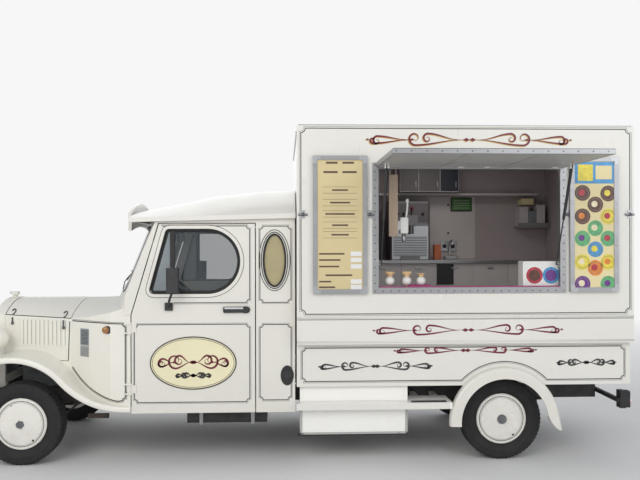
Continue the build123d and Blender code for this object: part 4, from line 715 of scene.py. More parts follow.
def scrollStroke(x, z, run, rise, size, curl, flip):
    # a long S-shaped stroke that ends in a spiral
    s = strokeShape
    line = [(x + run * step / s["runSteps"], z + rise * (1 - cos(pi * step / s["runSteps"])) / 2)
            for step in range(s["runSteps"] + 1)]
    endX, endZ = line[-1]
    turn = flip * 2 * pi * curl * (1 if run > 0 else -1)
    for t in (step / s["curlSteps"] for step in range(1, s["curlSteps"] + 1)):
        angle, radius = turn * t - flip * pi / 2, size * (1 - s["spiral"] * t)
        line.append((endX + radius * cos(angle), endZ + flip * size + radius * sin(angle)))
    widths = []
    for part in (step / (len(line) - 1) for step in range(len(line))):
        swell = s["swell"] * sin(pi * min(1, part / s["tailStart"])) ** s["power"]
        widths.append(s["fine"] + (swell if part < s["tailStart"] else s["tail"] * (1 - part)))
    return line, widths


def scrollwork(name, centreX, centreZ, reach, size, out, material, body="truck"):
    # mirrored scrolls round a row of diamonds
    parts, surface = [], flatSide(out)
    for way in (-1, 1):
        for start, run, rise, ball, curl, flip in strokes:
            line, widths = scrollStroke(centreX + way * reach * start, centreZ, way * reach * run, rise * size,
                                        ball * size * strokeShape["ball"], curl, flip)
            parts.append(ribbon(line, widths, surface))
        for along, wide in ((0.03, 26), (0.55, 18), (0.97, 14)):
            x = centreX + way * reach * along
            diamond = [(x - wide, centreZ), (x, centreZ), (x + wide, centreZ)]
            parts.append(ribbon(diamond, [0.5, wide * 1.1, 0.5], surface, 0.9))
    meshPiece(name, joined(parts), material, body)


for left, right, x, z, reach, size, out, material in (
    ("headScrollGold", "headScrollRightGold", 3406, 2466, 800, 84, 1000, signGold),
    ("headScrollLeft", "headScrollRight", 3412, 2472, 800, 84, 1000.6, burgundy),
    ("bandScrollLeft", "bandScrollRight", 3400, 1030, 740, 66, 1000, burgundy),
    ("skirtScrollLeft", "skirtScrollRight", 2700, 752, 440, 52, 943, stripeGrey),
    ("skirtScrollTop", "skirtScrollRightTop", 3392, 868, 560, 40, 943, burgundy),
    ("skirtScrollBack", "skirtScrollRightBack", 4330, 768, 230, 40, 943, stripeGrey),
):
    scrollwork(left, x, z, reach, size, -out, material)
    scrollwork(right, x, z, reach, size, out, material)
print("ornaments")

# cab outside
handleSize = dict(front=1544, rear=1748, low=1162, high=1216)
doorSign = dict(x=1318, z=784, halfX=322, halfZ=197, out=918)
fillerSize = dict(x=2028, z=690, profile=[(0, 36), (8, 36), (10, 33), (10, 12), (14, 11), (14.5, 0)])
latchPlaces = ((-196, 1034, 1094), (258, 1012, 1084))        # x, foot and head


def doorFurniture(sign, side, body):
    h, out = handleSize, sign * truckSize["doorOut"]
    z = (h["low"] + h["high"]) / 2
    meshPiece("handlePlate" + side, ovalPlate(h["rear"] - 36, z - 4, 36, 27, out, sign * 921, 2.5, 28), darkPlastic,
              body)
    box("handleGrip" + side, (h["front"], sign * 919, h["low"] + 2), (h["rear"] - 6, sign * 938, h["high"] - 6),
        darkPlastic, 9, body, segments=4)
    box("handleBright" + side, (h["front"] + 10, sign * 934, h["high"] - 24),
        (h["rear"] - 52, sign * 940, h["high"] - 10), chromeBright, 2.5, body)
    turned("handleLock" + side, [(0, 8), (5, 8), (6, 6), (6.2, 0)], (h["rear"] - 18, sign * 921, z - 6), (0, sign, 0),
           16, chromeBright, body)
    # the door's sign is a bare oval with two rings, and an ornament
    x, z, halfX, halfZ, face = (doorSign[key] for key in ("x", "z", "halfX", "halfZ", "out"))
    meshPiece("signOval" + side, ovalPlate(x, z, halfX, halfZ, out, sign * face, 1.0, 72), signYellow, body)
    for name, inX, inZ, width, ringOut, lift in (("signRing", 0, 0, 9, face - 1, 1.6),
                                                 ("signRingFine", 14, 13, 3.5, face, 0.8)):
        ring = oval(x, z, halfX - inX, halfZ - inZ, 64)
        meshPiece(name + side, stripe(ring, width, flatSide(sign * ringOut), lift), stripeGrey, body)
    scrollwork("signScroll" + side, x, z + 6, 262, 92, sign * face, burgundy, body)
    scrollwork("signScrollLow" + side, x, z - 94, 130, 34, sign * face, stripeGrey, body)


def scuttleFurniture(sign, side):
    # the side repeater, and two screwed plates with vent slots
    surface = castSide("scuttle", sign, 850)
    y = surface(650, 1030)
    meshPiece("indicatorBase" + side, ovalPlate(672, 1030, 50, 31, y - sign * 18, y + sign * 20, 9, 32), darkPlastic)
    meshPiece("indicatorLens" + side, ovalPlate(645, 1030, 27, 27, y, y + sign * 27, 8, 32), repeaterAmber, smooth=True)
    x0, x1 = 410, 490
    for low, high, material, slotTint in ((896, 1026, plateBlue, stripeGrey), (808, 892, ventGrey, plateBlue)):
        near, far, top = (lambda x, z, lift=lift: surface(x, z) + sign * lift for lift in (0.5, 3.5, 3.4))
        plate = prism([(x0, low), (x1, low), (x1, high), (x0, high)], near, far)
        meshPiece(f"scuttlePlate{side}{low}", plate, material, bevel=1)
        slots = [ribbon([(x, z) for x in range(x0 + 10, x1 - 9, 10)], 4.2, top, 0.7)
                 for z in range(low + 14, high - 15, 10)]
        meshPiece(f"ventSlots{side}{low}", joined(slots), slotTint)
        places = [(x, top(x, z), z) for x in (x0 + 5, x1 - 5) for z in (low + 6, high - 6)]
        studs(f"plateScrews{side}{low}", places, (0, sign, 0), 3, 1.6, steelBrushed)


def bonnetFurniture(sign, side):
    surface, lid = castSide("bonnet_sides", sign, 500), castSide("bonnet_" + side.lower(), sign, 500)
    # painted shade: dark strips in the slots under the louvres' trailing edges, then the seam down the rear and its
    # foot
    slots = [[(-99.5 + k * 37, z) for z in range(880, 1076, 15)] for k in range(11)]
    meshPiece("louvreShade" + side, joined([ribbon(line, 2.6, surface, 0.5) for line in slots]), stripeFaint)
    seam = [(309 - 12 * k / 40, 1072 - (1072 - 760) * k / 40) for k in range(41)]
    meshPiece("bonnetSeam" + side, ribbon(seam, 8, surface), stripeGrey)
    meshPiece("bonnetFootLine" + side, ribbon([(190 + k * 5, 760) for k in range(22)], 4, surface), stripeGrey)
    # latches: a pad and strap on the side, and a curled hook on the lid
    for x, low, high in latchPlaces:
        y = surface(x, low + 12)
        parts = [block((x - 9, y, low), (x + 12, y + sign * 13, low + 22)),
                 block((x - 6, y + sign * 3, low + 10), (x + 6, y + sign * 9, high))]
        meshPiece(f"bonnetLatch{side}{x}", joined(parts), rivetDark, bevel=3)
        hook = [(x + dx, lid(x, high + rise) + sign * 7, high + rise)
                for dx, rise in ((0, 20), (9, 30), (11, 44), (2, 56), (-12, 58), (-18, 48))]
        pipe(f"latchHook{side}{x}", smoothRoute(hook, 4), 5, rivetDark, "bonnet_" + side.lower())


for sign, side in sides:
    doorFurniture(sign, side, "door_" + side.lower())
    scuttleFurniture(sign, side)
    bonnetFurniture(sign, side)
f = fillerSize        # the fuel filler is on the left only
meshPiece("fillerRing", ovalPlate(f["x"], f["z"] - 6, 50, 76, -915, -921, 3, 40), rubberBlack)
turned("fillerCap", f["profile"], (f["x"], -920, f["z"]), (0, -1, 0), 28, darkPlastic)
print("cab outside")

# nose
lampSize = dict(y=540, z=936, ribs=5, ribStep=15, ribReach=84, rimX=-322, rimRadius=99)
wingLamp = dict(x=-330, y=790, z=778, lean=(-0.75, 0, 0.66))
coreSize = dict(half=364, crown=1193, shoulder=1112, low=624, fins=70, pitch=8)
forward = Vector((-1, 0, 0))
lensFront = castFront("headlamp_lenses", -345)
for sign, side in sides:
    n, w = lampSize, wingLamp
    for k in range(-n["ribs"], n["ribs"] + 1):        # lens ribs
        y = sign * n["y"] + k * n["ribStep"]
        reach = sqrt(n["ribReach"] ** 2 - (k * n["ribStep"]) ** 2)
        rib = [at(lensFront(y, z), y, z) for z in (n["z"] - reach + 2 * reach * step / 10 for step in range(11))]
        shape = sweep(rib, [(0, -1.2), (1.6, 0), (0, 1.2)], forward, False)
        meshPiece(f"lensRib{side}{k + n['ribs']}", shape, lensGlass, smooth=True)
    rim = [at(n["rimX"], y, z) for y, z in oval(sign * n["y"], n["z"], n["rimRadius"], n["rimRadius"], 56)]
    meshPiece("lampRim" + side, sweep(rim, roundSection(14, 10, 6), forward), chromeBright, smooth=True)
    turned("lampBulb" + side, [(0, 12), (16, 12), (26, 9), (32, 4), (33, 0)], (-296, sign * n["y"], n["z"]), forward,
           20, plateWhite, smooth=True)
    for name, profile, material in (("Base", [(0, 17), (26, 20), (34, 30), (36, 30)], chromeBright),
                                    ("Lens", [(36, 29), (44, 26), (50, 15), (52, 0)], amberLens)):
        turned(f"wingLamp{name}{side}", profile, (w["x"], sign * w["y"], w["z"]), w["lean"], 28, material, smooth=True)
    studs("bumperBolts" + side, [(-612, sign * y, 475) for y in (412, 700)], forward, 11, 7, chromeBright)
# a dark core with level fins behind the grille bars
c = coreSize
coreArc = (c["half"] ** 2 + (c["crown"] - c["shoulder"]) ** 2) / (2 * (c["crown"] - c["shoulder"]))
coreFins = []
for k in range(c["fins"]):
    z = c["low"] + k * c["pitch"]
    rise = max(0, z + 3 - (c["crown"] - coreArc))
    half = c["half"] if z + 3 < c["shoulder"] else sqrt(max(0, coreArc ** 2 - rise ** 2))
    coreFins.append(block((-308.4 if k % 2 else -307.2, -half, z), (-306.2, half, z + 7.4)))
meshPiece("radiatorCore", joined(coreFins), rubberBlack)
turned("radiatorCapTop", [(-4, 30), (2, 33), (9, 33), (12, 27), (13, 0)], (-326, 0, 1262), (0, 0, 1), 12, chromeBright,
       bevel=2)
print("nose")

# serving side
sideOut = (0, -1, 0)
boardSize = dict(back=-1015, face=-1024, rail=17)
boards = dict(menuLeft=(2256, 2597, 1344, 2313, boardYellow), menuRight=(4210, 4515, 1350, 2308, boardCream))
menuRows = dict(middle=2426, heads=((2293, 210), (2223, 250)), rules=130, left=2268, tags=(2505, 2588),
                flavours=((2088, 120), (1994, 150), (1909, 220), (1825, 120), (1753, 130)),
                prices=((1610, 190), (1564, 160), (1515, 150), (1402, 90), (1360, 120)))
discX = (4272, 4470, 4371)
discRows = ((0, 2068, cocoa), (1, 2064, cocoa), (2, 1980, cocoa), (0, 1890, cocoa), (1, 1890, lemon), (2, 1800, mint),
            (0, 1722, mint), (1, 1722, mint), (2, 1640, sky), (0, 1543, lemon), (1, 1543, lemon), (2, 1498, orange),
            (0, 1378, plum), (1, 1378, mint))        # column, height, tint
coreTints = (berry, vanilla, orange, lemon, plum, berry, vanilla)

places = [(2692 + k * 60, -1008, z) for k in range(25) for z in (1327, 2277)]
places += [(x, -1008, 1327 + k * 60) for k in range(1, 16) for x in (2691, 4133)]
studs("frameRivets", places, sideOut, 5.5, 2.4, rivetDark)
roundBox("sillStrip", (2722, -1004, 1354.4), (4102, -952, 1362), sillMagenta, 1.5)
roundBox("counterNosing", (2700, -962, 1300), (4150, -957, 1338), alloyTrim, 2)
# hatch: aluminium edge channel, front edge rail, lining with its seams, and rivets
roundBox("hatchRail", (2701, -1947.6, 2263), (4143, -1941, 2299.5), alloyTrim, 2, "hatch")
for side, x0, x1 in (("Front", 2700.5, 2707), ("Rear", 4137, 4143.5)):
    roundBox("hatchEdge" + side, (x0, -1944, 2263), (x1, -1022, 2299.5), alloyTrim, 1.5, "hatch")
box("hatchUnder", (2712, -1938, 2263.5), (4132, -1026, 2266.5), hatchLining, body="hatch")
for x in (3186, 3658):
    box(f"hatchSeam{x}", (x - 3, -1936, 2262.6), (x + 3, -1030, 2263.6), stripeFaint, body="hatch")
studs("hatchRivets", [(2722 + k * 98, -1947.4, 2281) for k in range(15)], sideOut, 5, 2, rivetDark, "hatch")
# painted shadow: dark lines along the rail's top and bottom edges
for z in (2264, 2297):
    box(f"hatchRailShadowLine{z}", (2701, -1948.4, z - 1.5), (4143, -1947.4, z + 1.5), rivetDark, body="hatch")
for k, x in enumerate((2760, 3084, 3412, 3740, 4064)):
    roundBox(f"hingeLeaf{k}", (x - 38, -1012, 2266), (x + 38, -1008, 2292), steelBrushed, 1)
for k, x in enumerate((2148, 2654, 4160, 4645)):        # turn catches
    barReach, topReach = (14, 12) if k == 2 else (36, 34)        # clear of the closed hatch
    box(f"catchPlate{k}", (x - 17, -1004, 1876), (x + 17, -1000, 1938), steelBrushed, 1.5)
    # the dark bar shows below the bright top strip: its dark is partly the catch's own dark metal, partly painted shade
    # under the strip
    box(f"catchBar{k}", (x - barReach, -1014, 1897), (x + 36, -1004, 1914), rivetDark, 4)
    box(f"catchTop{k}", (x - topReach, -1016, 1905), (x + 34, -1013.6, 1912), steelBrushed, 1)
    turned(f"catchBoss{k}", [(0, 15), (8, 15), (12, 11), (13, 0)], (x, -1004, 1906), sideOut, 18, rivetDark)

# menu boards: blank rows and price tags on the left, coloured discs on the right
for name, (x0, x1, z0, z1, material) in boards.items():
    box(name, (x0, boardSize["face"], z0), (x1, boardSize["back"], z1), material, 1)
    rail = boardSize["rail"]
    xs, zs = (x0 - rail, x1 + rail), (z0 - rail, z1 + rail)
    screws = [(x, -1030, z) for x in xs for z in zs]
    screws += [(x, -1030, z0 + (z1 - z0) * part) for x in xs for part in (0.33, 0.66)]
    studs(name + "Screws", screws, sideOut, 5, 2.5, steelBrushed)
    for k, (x, z, wayX, wayZ) in enumerate(((xs[0], zs[0], 1, 1), (xs[1], zs[0], -1, 1), (xs[1], zs[1], -1, -1),
                                            (xs[0], zs[1], 1, -1))):        # corner brackets of the board's rail
        leg = [(x + wayX * dx, z + wayZ * dz)
               for dx, dz in ((-17, 42), (-17, -17), (42, -17), (42, 16), (16, 16), (16, 42))]
        meshPiece(f"{name}Corner{k}", prism(leg, -1030.2, -1032.5), steelBrushed, bevel=1.5)


def inkBar(x0, x1, z, half, proud=-1024.8):
    return block((x0, proud, z - half), (x1, -1023.8, z + half))


m = menuRows
middle, parts = m["middle"], []
for z, wide in m["heads"]:        # heading bars broken by diamonds, where a title would stand
    parts += [inkBar(middle - wide / 2, middle - 18, z, 7.5), inkBar(middle + 18, middle + wide / 2, z, 7.5)]
for z, wide in m["flavours"]:        # a blank strip between two fine rules
    parts += [inkBar(middle - m["rules"], middle + m["rules"], z + edge, 1, -1024.6) for edge in (-24, 24)]
    parts.append(inkBar(middle - wide / 2, middle + wide / 2, z, 6))
parts.append(inkBar(middle - 110, middle + 90, 1449.5, 6.5))
parts += [inkBar(m["left"], m["left"] + wide, z, 6) for z, wide in m["prices"]]
meshPiece("menuRules", joined(parts), boardInk)
tags = [block((m["tags"][0], -1027, z - 17), (m["tags"][1], -1024, z + 17)) for z, wide in m["prices"]]
meshPiece("priceTags", joined(tags), plateWhite, bevel=0.8)


def disc(name, x, y, z, radius, edge, lip, tint, turns):
    turned(name, [(0, radius), (edge, radius), (lip, radius - 2), (lip, 0)], (x, y, z), sideOut, turns,
           discFinishes[tint])


for k, (column, z, tint) in enumerate(discRows):
    x = discX[column]
    disc(f"menuDisc{k}", x, -1024, z, 60, 1.2, 1.6, tint, 40)
    disc(f"menuDiscCore{k}", x - 8, -1025.6, z + 4, 24, 0.8, 1.0, coreTints[k * 3 % 7], 32)
    meshPiece(f"menuDiscRing{k}", stripe(oval(x, z, 46, 46, 40), 3.5, flatSide(-1025.6), 0.6), stripeFaint)
box("boardHeader", (4212, -1026, 2140), (4513, -1024, 2304), discFinishes[sky], 0.8)
box("boardHeaderCore", (4236, -1027, 2160), (4352, -1025.8, 2284), discFinishes[lemon], 0.8)
box("boardHeaderTag", (4372, -1027, 2172), (4498, -1025.8, 2276), boardCream, 0.8)
print("serving side")

# inside the servery
room = dict(front=2142, rear=4638, low=940, high=2540, half=959)
farCounter = dict(doors=6, front=2424, pitch=342)
coneStand = dict(foot=[(0, 30), (5, 30), (8, 26), (9, 9), (30, 8), (34, 16), (36, 0)],
                 ball=[(0, 12), (6, 24), (18, 33), (34, 36), (50, 32), (60, 22), (64, 12)],
                 places=((2812, 150), (2942, 150), (3052, 134)))
r = room
box("liningFar", (r["front"], 954, r["low"]), (r["rear"], r["half"], r["high"]), liningGrey)
lining = [block((x0, -r["half"], z0), (x1, -954, z1)) for x0, x1, z0, z1 in (
    (r["front"], 2716, r["low"], r["high"]), (4108, r["rear"], r["low"], r["high"]), (2716, 4108, r["low"], 1296),
    (2716, 4108, 2258, r["high"]))]
meshPiece("liningNear", joined(lining), liningGrey)
box("liningFront", (r["front"], -950, r["low"]), (2147, 950, r["high"]), liningGrey)
box("liningCeiling", (2148, -950, 2536), (4636, 950, 2541), liningGrey)
lining = [block((4634, y0, r["low"]), (r["rear"], y1, r["high"])) for y0, y1 in ((-950, -392), (392, 950))]
meshPiece("liningRear", joined(lining), liningGrey)
box("floorMat", (2160, -590, 740.5), (4630, 460, 744), matGrey)
for k, x in enumerate((2700, 3412, 4130)):
    box(f"ceilingLamp{k}", (x - 130, -160, 2516), (x + 130, -90, 2536), plateWhite, 6)
# cupboard doors on the high shelf, painted dark grey for the shade inside the servery, the last one dark blue
for k, (x0, x1, material) in enumerate(((3124, 3300, paintedShadeGrey), (3306, 3508, paintedShadeGrey),
                                        (3514, 3689, cupboardBlue))):
    box(f"cupboardDoor{k}", (x0, 655, 2184), (x1, 660, 2434), material, 1.5)
    box(f"cupboardPull{k}", (x1 - 30, 646, 2220), (x1 - 22, 655, 2280), steelBrushed, 2)
# splash panel with two hooks, screen, socket plate and tap
box("splashPanel", (3440, 948, 1524), (3920, 953, 2146), cabinetWhite, 2)
box("splashSeam", (3456, 946.5, 1524), (3459, 948, 2146), stripeFaint)
studs("splashHooks", [(3647, 946, 2062), (3647, 946, 1781)], sideOut, 11, 9, darkPlastic)
box("screenCase", (3672, 936, 1998), (3886, 948, 2138), darkPlastic, 4)
box("screenFace", (3684, 933.5, 2010), (3874, 936, 2126), screenGreen, 1)
meshPiece("screenRows", joined([block((3700, 932.6, z), (3858, 933.6, z + 3)) for z in range(2030, 2103, 24)]),
          plateWhite)
box("socketPlate", (3568, 930, 1600), (3730, 948, 1702), steelBrushed, 3)
studs("socketTops", [(3606, 930, 1650), (3690, 930, 1650)], sideOut, 22, 12, darkPlastic)
roundBox("tapBlock", (3590, 820, 1520), (3720, 900, 1556), steelBrushed, 8)
pipe("tapSpout", smoothRoute([(3650, 880, 1550), (3650, 880, 1660), (3650, 860, 1700), (3650, 800, 1710),
                              (3650, 770, 1690), (3650, 766, 1664)]), 9, chromeBright)
roundBox("cupTower", (3470, 760, 1520.5), (3540, 830, 1668), orangePlastic, 10)
# grey cold cabinet with a grille, and the far counter's doors
roundBox("coldCabinet", (2460, 560, 1521), (2900, 930, 1836), steelBrushed, 10)
meshPiece("coldGrille", joined([block((2490, 555, z), (2870, 560, z + 8)) for z in range(1560, 1737, 22)]), darkPlastic)
box("coldHandle", (2840, 546, 1780), (2880, 556, 1812), chromeBright, 3)
for k in range(farCounter["doors"]):
    x = farCounter["front"] + k * farCounter["pitch"]
    box(f"counterDoor{k}", (x + 4, 514, 968), (x + 336, 519.4, 1482), cabinetWhite, 2)
    box(f"counterPull{k}", (x + 140, 504, 1440), (x + 200, 514, 1452), steelBrushed, 3)
box("counterEdge", (2400, 493, 1491), (4500, 500, 1521), alloyTrim, 2)
# painted shade: a dark sheet for the shade in an open bay of the far counter
box("darkBay", (3449, 509, 1290), (3609, 514, 1486), darkPlastic, 1)
box("nearCounterEdge", (2700, -600, 1306), (4600, -594, 1336), alloyTrim, 2)
# side panel by the opening, and the dispenser with its lever
box("creamPanel", (2828, -760, 1740), (2900, -740, 2228), panelBeige, 3)
for k, x in enumerate((2838, 2884)):
    box(f"creamPanelHanger{k}", (x - 5, -756, 2226), (x + 5, -744, 2537), alloyTrim, 1)
box("dispenserBracket", (2894, -756, 1790), (2924, -742, 1864), steelBrushed, 2)
roundBox("dispenserHead", (2918, -760, 1762), (2984, -668, 1892), plateWhite, 12)
turned("dispenserNeck", [(0, 16), (60, 16), (66, 10), (70, 0)], (2951, -720, 1764), (0, 0, -1), 24, steelBrushed,
       smooth=True)
pipe("dispenserLever", smoothRoute([(2966, -724, 1884), (2974, -730, 1930), (2978, -734, 1990), (2977, -734, 2018)]), 8,
     plateWhite)
turned("dispenserKnob", [(0, 8), (8, 13), (20, 13), (28, 6), (29, 0)], (2977, -734, 2010), (0, 0, 1), 20, plateWhite,
       smooth=True)
# soft ice machine: panel, apron, drip grid, knobs and lever
# the panel is painted in the same dark grey for the shade in the servery
box("machinePanel", (3030, 534, 1880), (3370, 540, 2060), paintedShadeGrey, 3)
box("machineApron", (3026, 537, 1530), (3374, 540.6, 1846), steelBrushed, 2)
meshPiece("machineGrid", joined([block((3040, 534, z), (3360, 540, z + 6)) for z in range(1560, 1737, 16)]),
          darkPlastic)
studs("machineKnobs", [(x, 534, 1960) for x in (3080, 3140, 3320)], sideOut, 16, 14, darkPlastic)
pipe("machineLever", [at(3200, 475, 1945), at(3200, 440, 2010)], 7, darkPlastic)
turned("machineTip", [(0, 14), (22, 14), (26, 10), (27, 0)], (3200, 446, 1998), (0, -0.5, 0.87), 18, burgundy,
       smooth=True)
# rack of boxes on the far wall, to the rear
for k, (x, z, wide, high, material) in enumerate((
    (4330, 1850, 88, 190, cabinetWhite), (4424, 1850, 70, 150, plateBlue), (4500, 1850, 84, 210, cabinetWhite),
    (4350, 2060, 120, 60, boardCream),
)):
    roundBox(f"rackBox{k}", (x, 800, z), (x + wide, 950, z + high), material, 4)
box("rackShelf", (4310, 780, 1830), (4620, 952, 1848), alloyTrim, 2)
box("rackRail", (4310, 776, 1848), (4620, 780, 1880), alloyTrim, 2)
# display box on the counter with two round tags, and the cone stands
roundBox("displayBox", (3836, -946, 1335.5), (4118, -820, 1548), plateWhite, 4)
for k, (x, tint, inner) in enumerate(((3926, berry, cocoa), (4054, sky, plum))):
    disc(f"displayDisc{k}", x, -946, 1440, 64, 1, 1.4, tint, 44)
    disc(f"displayCore{k}", x, -947.2, 1440, 44, 0.8, 1.2, inner, 40)
for k, (x, high) in enumerate(coneStand["places"]):
    cup = [(0, 14), (10, 20), (24, 24), (26, 34), (high - 108, 38), (high - 106, 35), (high - 108, 30), (30, 20),
           (28, 0)]
    for name, profile, z, turns, material in (("Stand", coneStand["foot"], 1335.5, 28, palePine),
                                              ("Ball", coneStand["ball"], 1368, 28, plateWhite),
                                              ("Cup", cup, 1428, 24, palePine)):
        turned(f"cone{name}{k}", profile, (x, -932, z), (0, 0, 1), turns, material, smooth=name == "Ball")
box("coneTray", (2960, -945, 1335.5), (3124, -850, 1372), sillMagenta, 4)
print("servery inside")

# back and roof
rearLamp = dict(y=850, lenses=(("Red", 446, 41, redLens), ("Amber", 510, 19, amberLens)))
rear = truckSize["boxRear"]
lampBack = castFront("rear_lamps", 4690, fromX=6000, way=-1)
for sign, side in sides:
    for name, z, radius, material in rearLamp["lenses"]:
        place = (lampBack(sign * rearLamp["y"], z), sign * rearLamp["y"], z)
        dome = [(-3, radius), (1, radius), (2.6, radius * 0.92), (4.3, radius * 0.6), (5, 0)]
        turned(f"lamp{name}{side}", dome, place, (1, 0, 0), 40, material, smooth=True)
        turned(f"lamp{name}Ring{side}", [(-1, radius + 4), (3, radius + 4), (4, radius + 1), (3, radius - 1)], place,
               (1, 0, 0), 40, chromeBright, smooth=True)
    roundBox("markerLamp" + side, (rear, sign * 900 - 22, 2430), (rear + 9, sign * 900 + 22, 2452), redLens, 3)
    route = ((4676, 1180), (4692, 1190), (4697, 1230), (4697, 1560), (4692, 1600), (4676, 1610))
    pipe("grabHandle" + side, smoothRoute([(x, sign * 470, z) for x, z in route]), 8, chromeBright)


def rearStripe(name, line, width, body, material, lift=0.6):
    points = []
    for (y0, z0), (y1, z1) in zip(outwards(line, -width / 2), outwards(line, width / 2)):
        points += [at(rear, y0, z0), at(rear + lift, y0, z0), at(rear + lift, y1, z1), at(rear, y1, z1)]
    meshPiece(name, (points, gridFaces(len(line), 4)), material, body)


for k, (y0, y1, z0, z1, body) in enumerate(((-930, -430, 980, 2480, "truck"), (430, 930, 980, 2480, "truck"),
                                            (-340, 340, 800, 1480, "rear_door"), (-340, 340, 1560, 2400, "rear_door"))):
    line = notchedPanel(y0, y1, z0, z1, 30)
    rearStripe(f"rearLine{k}", line, 5, body, stripeGrey)
    rearStripe(f"rearFine{k}", outwards(line, 10), 3, body, stripeFaint)
box("rearHandlePlate", (rear, -345, 1480), (rear + 4, -300, 1600), steelBrushed, 2, "rear_door")
box("rearHandle", (rear + 4, -335, 1545), (rear + 15, -255, 1562), chromeBright, 4, "rear_door")
box("frontCapRail", (2095, -960, 2500), (2101, 960, 2540), alloyTrim, 2)
seams = [block((x - 6, -985, 2582), (x + 6, 985, 2584.5)) for x in (2740, 3390, 4040)]
meshPiece("roofSeams", joined(seams), panelWhite)
for sign, side in sides:
    box("roofGutter" + side, (2115, sign * 985 - 8, 2576), (4665, sign * 985 + 8, 2585), alloyTrim, 2)
print("back and roof")

# seats
seatSize = dict(middle=430, half=228, front=1228, rear=1682, low=794, high=912, frontDrop=6, rearDrop=14)
backSize = dict(footX=1606, footZ=928, headX=1719, headZ=1596, thick=112, headThick=90, headIn=10)
clothSetup = dict(voxel=0.012, pressure=4.0, frames=20, cap=0.024, stiff=12, bend=0.5, seamLow=0.022, seamSide=0.02,
                  corner=0.030)


def applyAll(piece):
    # the shape with its modifiers becomes the mesh itself
    shaped = bpy.data.meshes.new_from_object(piece.evaluated_get(bpy.context.evaluated_depsgraph_get()))
    piece.modifiers.clear()
    old, piece.data = piece.data, shaped
    bpy.data.meshes.remove(old)


def softBox(name, low, high, material):
    # a closed cover from two rings of four corners, rounded along its edges
    points = [at(*corner) for corner in low + high]
    maker = bmesh.new()
    corners = [maker.verts.new(point) for point in points]
    for face in ((0, 1, 2, 3), (7, 6, 5, 4), (0, 4, 5, 1), (1, 5, 6, 2), (2, 6, 7, 3), (3, 7, 4, 0)):
        maker.faces.new([corners[index] for index in face])
    bmesh.ops.recalc_face_normals(maker, faces=maker.faces)
    mesh = bpy.data.meshes.new(name)
    maker.to_mesh(mesh)
    maker.free()
    piece = addObject(name, mesh)
    edge = piece.modifiers.new("rounding", "BEVEL")
    edge.width = clothSetup["corner"]
    edge.segments = 4
    applyAll(piece)
    return keep(piece, material, "truck", smooth=True)


def inflate(pieces):
    # air in the covers: they fill out between their seams, with their movement capped
    c, scene, before = clothSetup, bpy.context.scene, {}
    for piece in pieces:
        remesh = piece.modifiers.new("even", "REMESH")
        remesh.mode = "VOXEL"
        remesh.voxel_size = c["voxel"]
        applyAll(piece)
        spots = before[piece.name] = [vertex.co.copy() for vertex in piece.data.vertices]
        seams = piece.vertex_groups.new(name="seams")
        foot = min(spot.z for spot in spots) + c["seamLow"]
        near, far = (pick(spot.y for spot in spots) for pick in (min, max))
        held = [index for index, spot in enumerate(spots)
                if spot.z < foot or min(spot.y - near, far - spot.y) <= c["seamSide"]]
        seams.add(held, 1.0, "REPLACE")
        cloth = piece.modifiers.new("cover", "CLOTH").settings
        cloth.use_pressure = True
        cloth.uniform_pressure_force = c["pressure"]
        cloth.effector_weights.gravity = 0
        cloth.tension_stiffness = c["stiff"]
        cloth.compression_stiffness = c["stiff"]
        cloth.bending_stiffness = c["bend"]
        cloth.vertex_group_mass = "seams"
    for count in range(1, c["frames"] + 1):
        scene.frame_set(count)
    graph = bpy.context.evaluated_depsgraph_get()
    for piece in pieces:
        moved = [vertex.co.copy() for vertex in piece.evaluated_get(graph).data.vertices]
        piece.modifiers.clear()
        for vertex, old, new in zip(piece.data.vertices, before[piece.name], moved):
            step = new - old
            if step.length > c["cap"]:
                step = step * (c["cap"] / step.length)
            vertex.co = old + step
        piece.data.update()
        finer = piece.modifiers.new("finer", "SUBSURF")
        finer.levels = finer.render_levels = 1
        for face in piece.data.polygons:
            face.use_smooth = True
    scene.frame_set(1)


def ringOf(x0, x1, y0, y1, z0, z1):
    return [(x0, y0, z0), (x1, y0, z1), (x1, y1, z1), (x0, y1, z0)]


seatPieces = []
s, b = seatSize, backSize
for sign, side in sides:
    y0, y1 = sign * s["middle"] - s["half"], sign * s["middle"] + s["half"]
    foot = ringOf(s["front"], s["rear"], y0, y1, s["low"], s["low"])
    top = ringOf(s["front"], s["rear"], y0, y1, s["high"] - s["frontDrop"], s["high"] - s["rearDrop"])
    seatPieces.append(softBox("seatBase" + side, foot, top, seatVinyl))
    foot = ringOf(b["footX"], b["footX"] + b["thick"], y0, y1, b["footZ"], b["footZ"])
    top = ringOf(b["headX"], b["headX"] + b["headThick"], y0 + b["headIn"], y1 - b["headIn"], b["headZ"], b["headZ"])
    seatPieces.append(softBox("seatBack" + side, foot, top, seatCloth))
    piping = ringOf(1250, 1660, y0 + 10, y1 - 10, s["high"] - 4, s["high"] - 11)        # round the base's top
    pipe("seatPiping" + side, [at(*corner) for corner in piping], 4, rubberBlack, closed=True)
inflate(seatPieces)
for piece in seatPieces:
    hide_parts("seat_cushions")
print("seats")

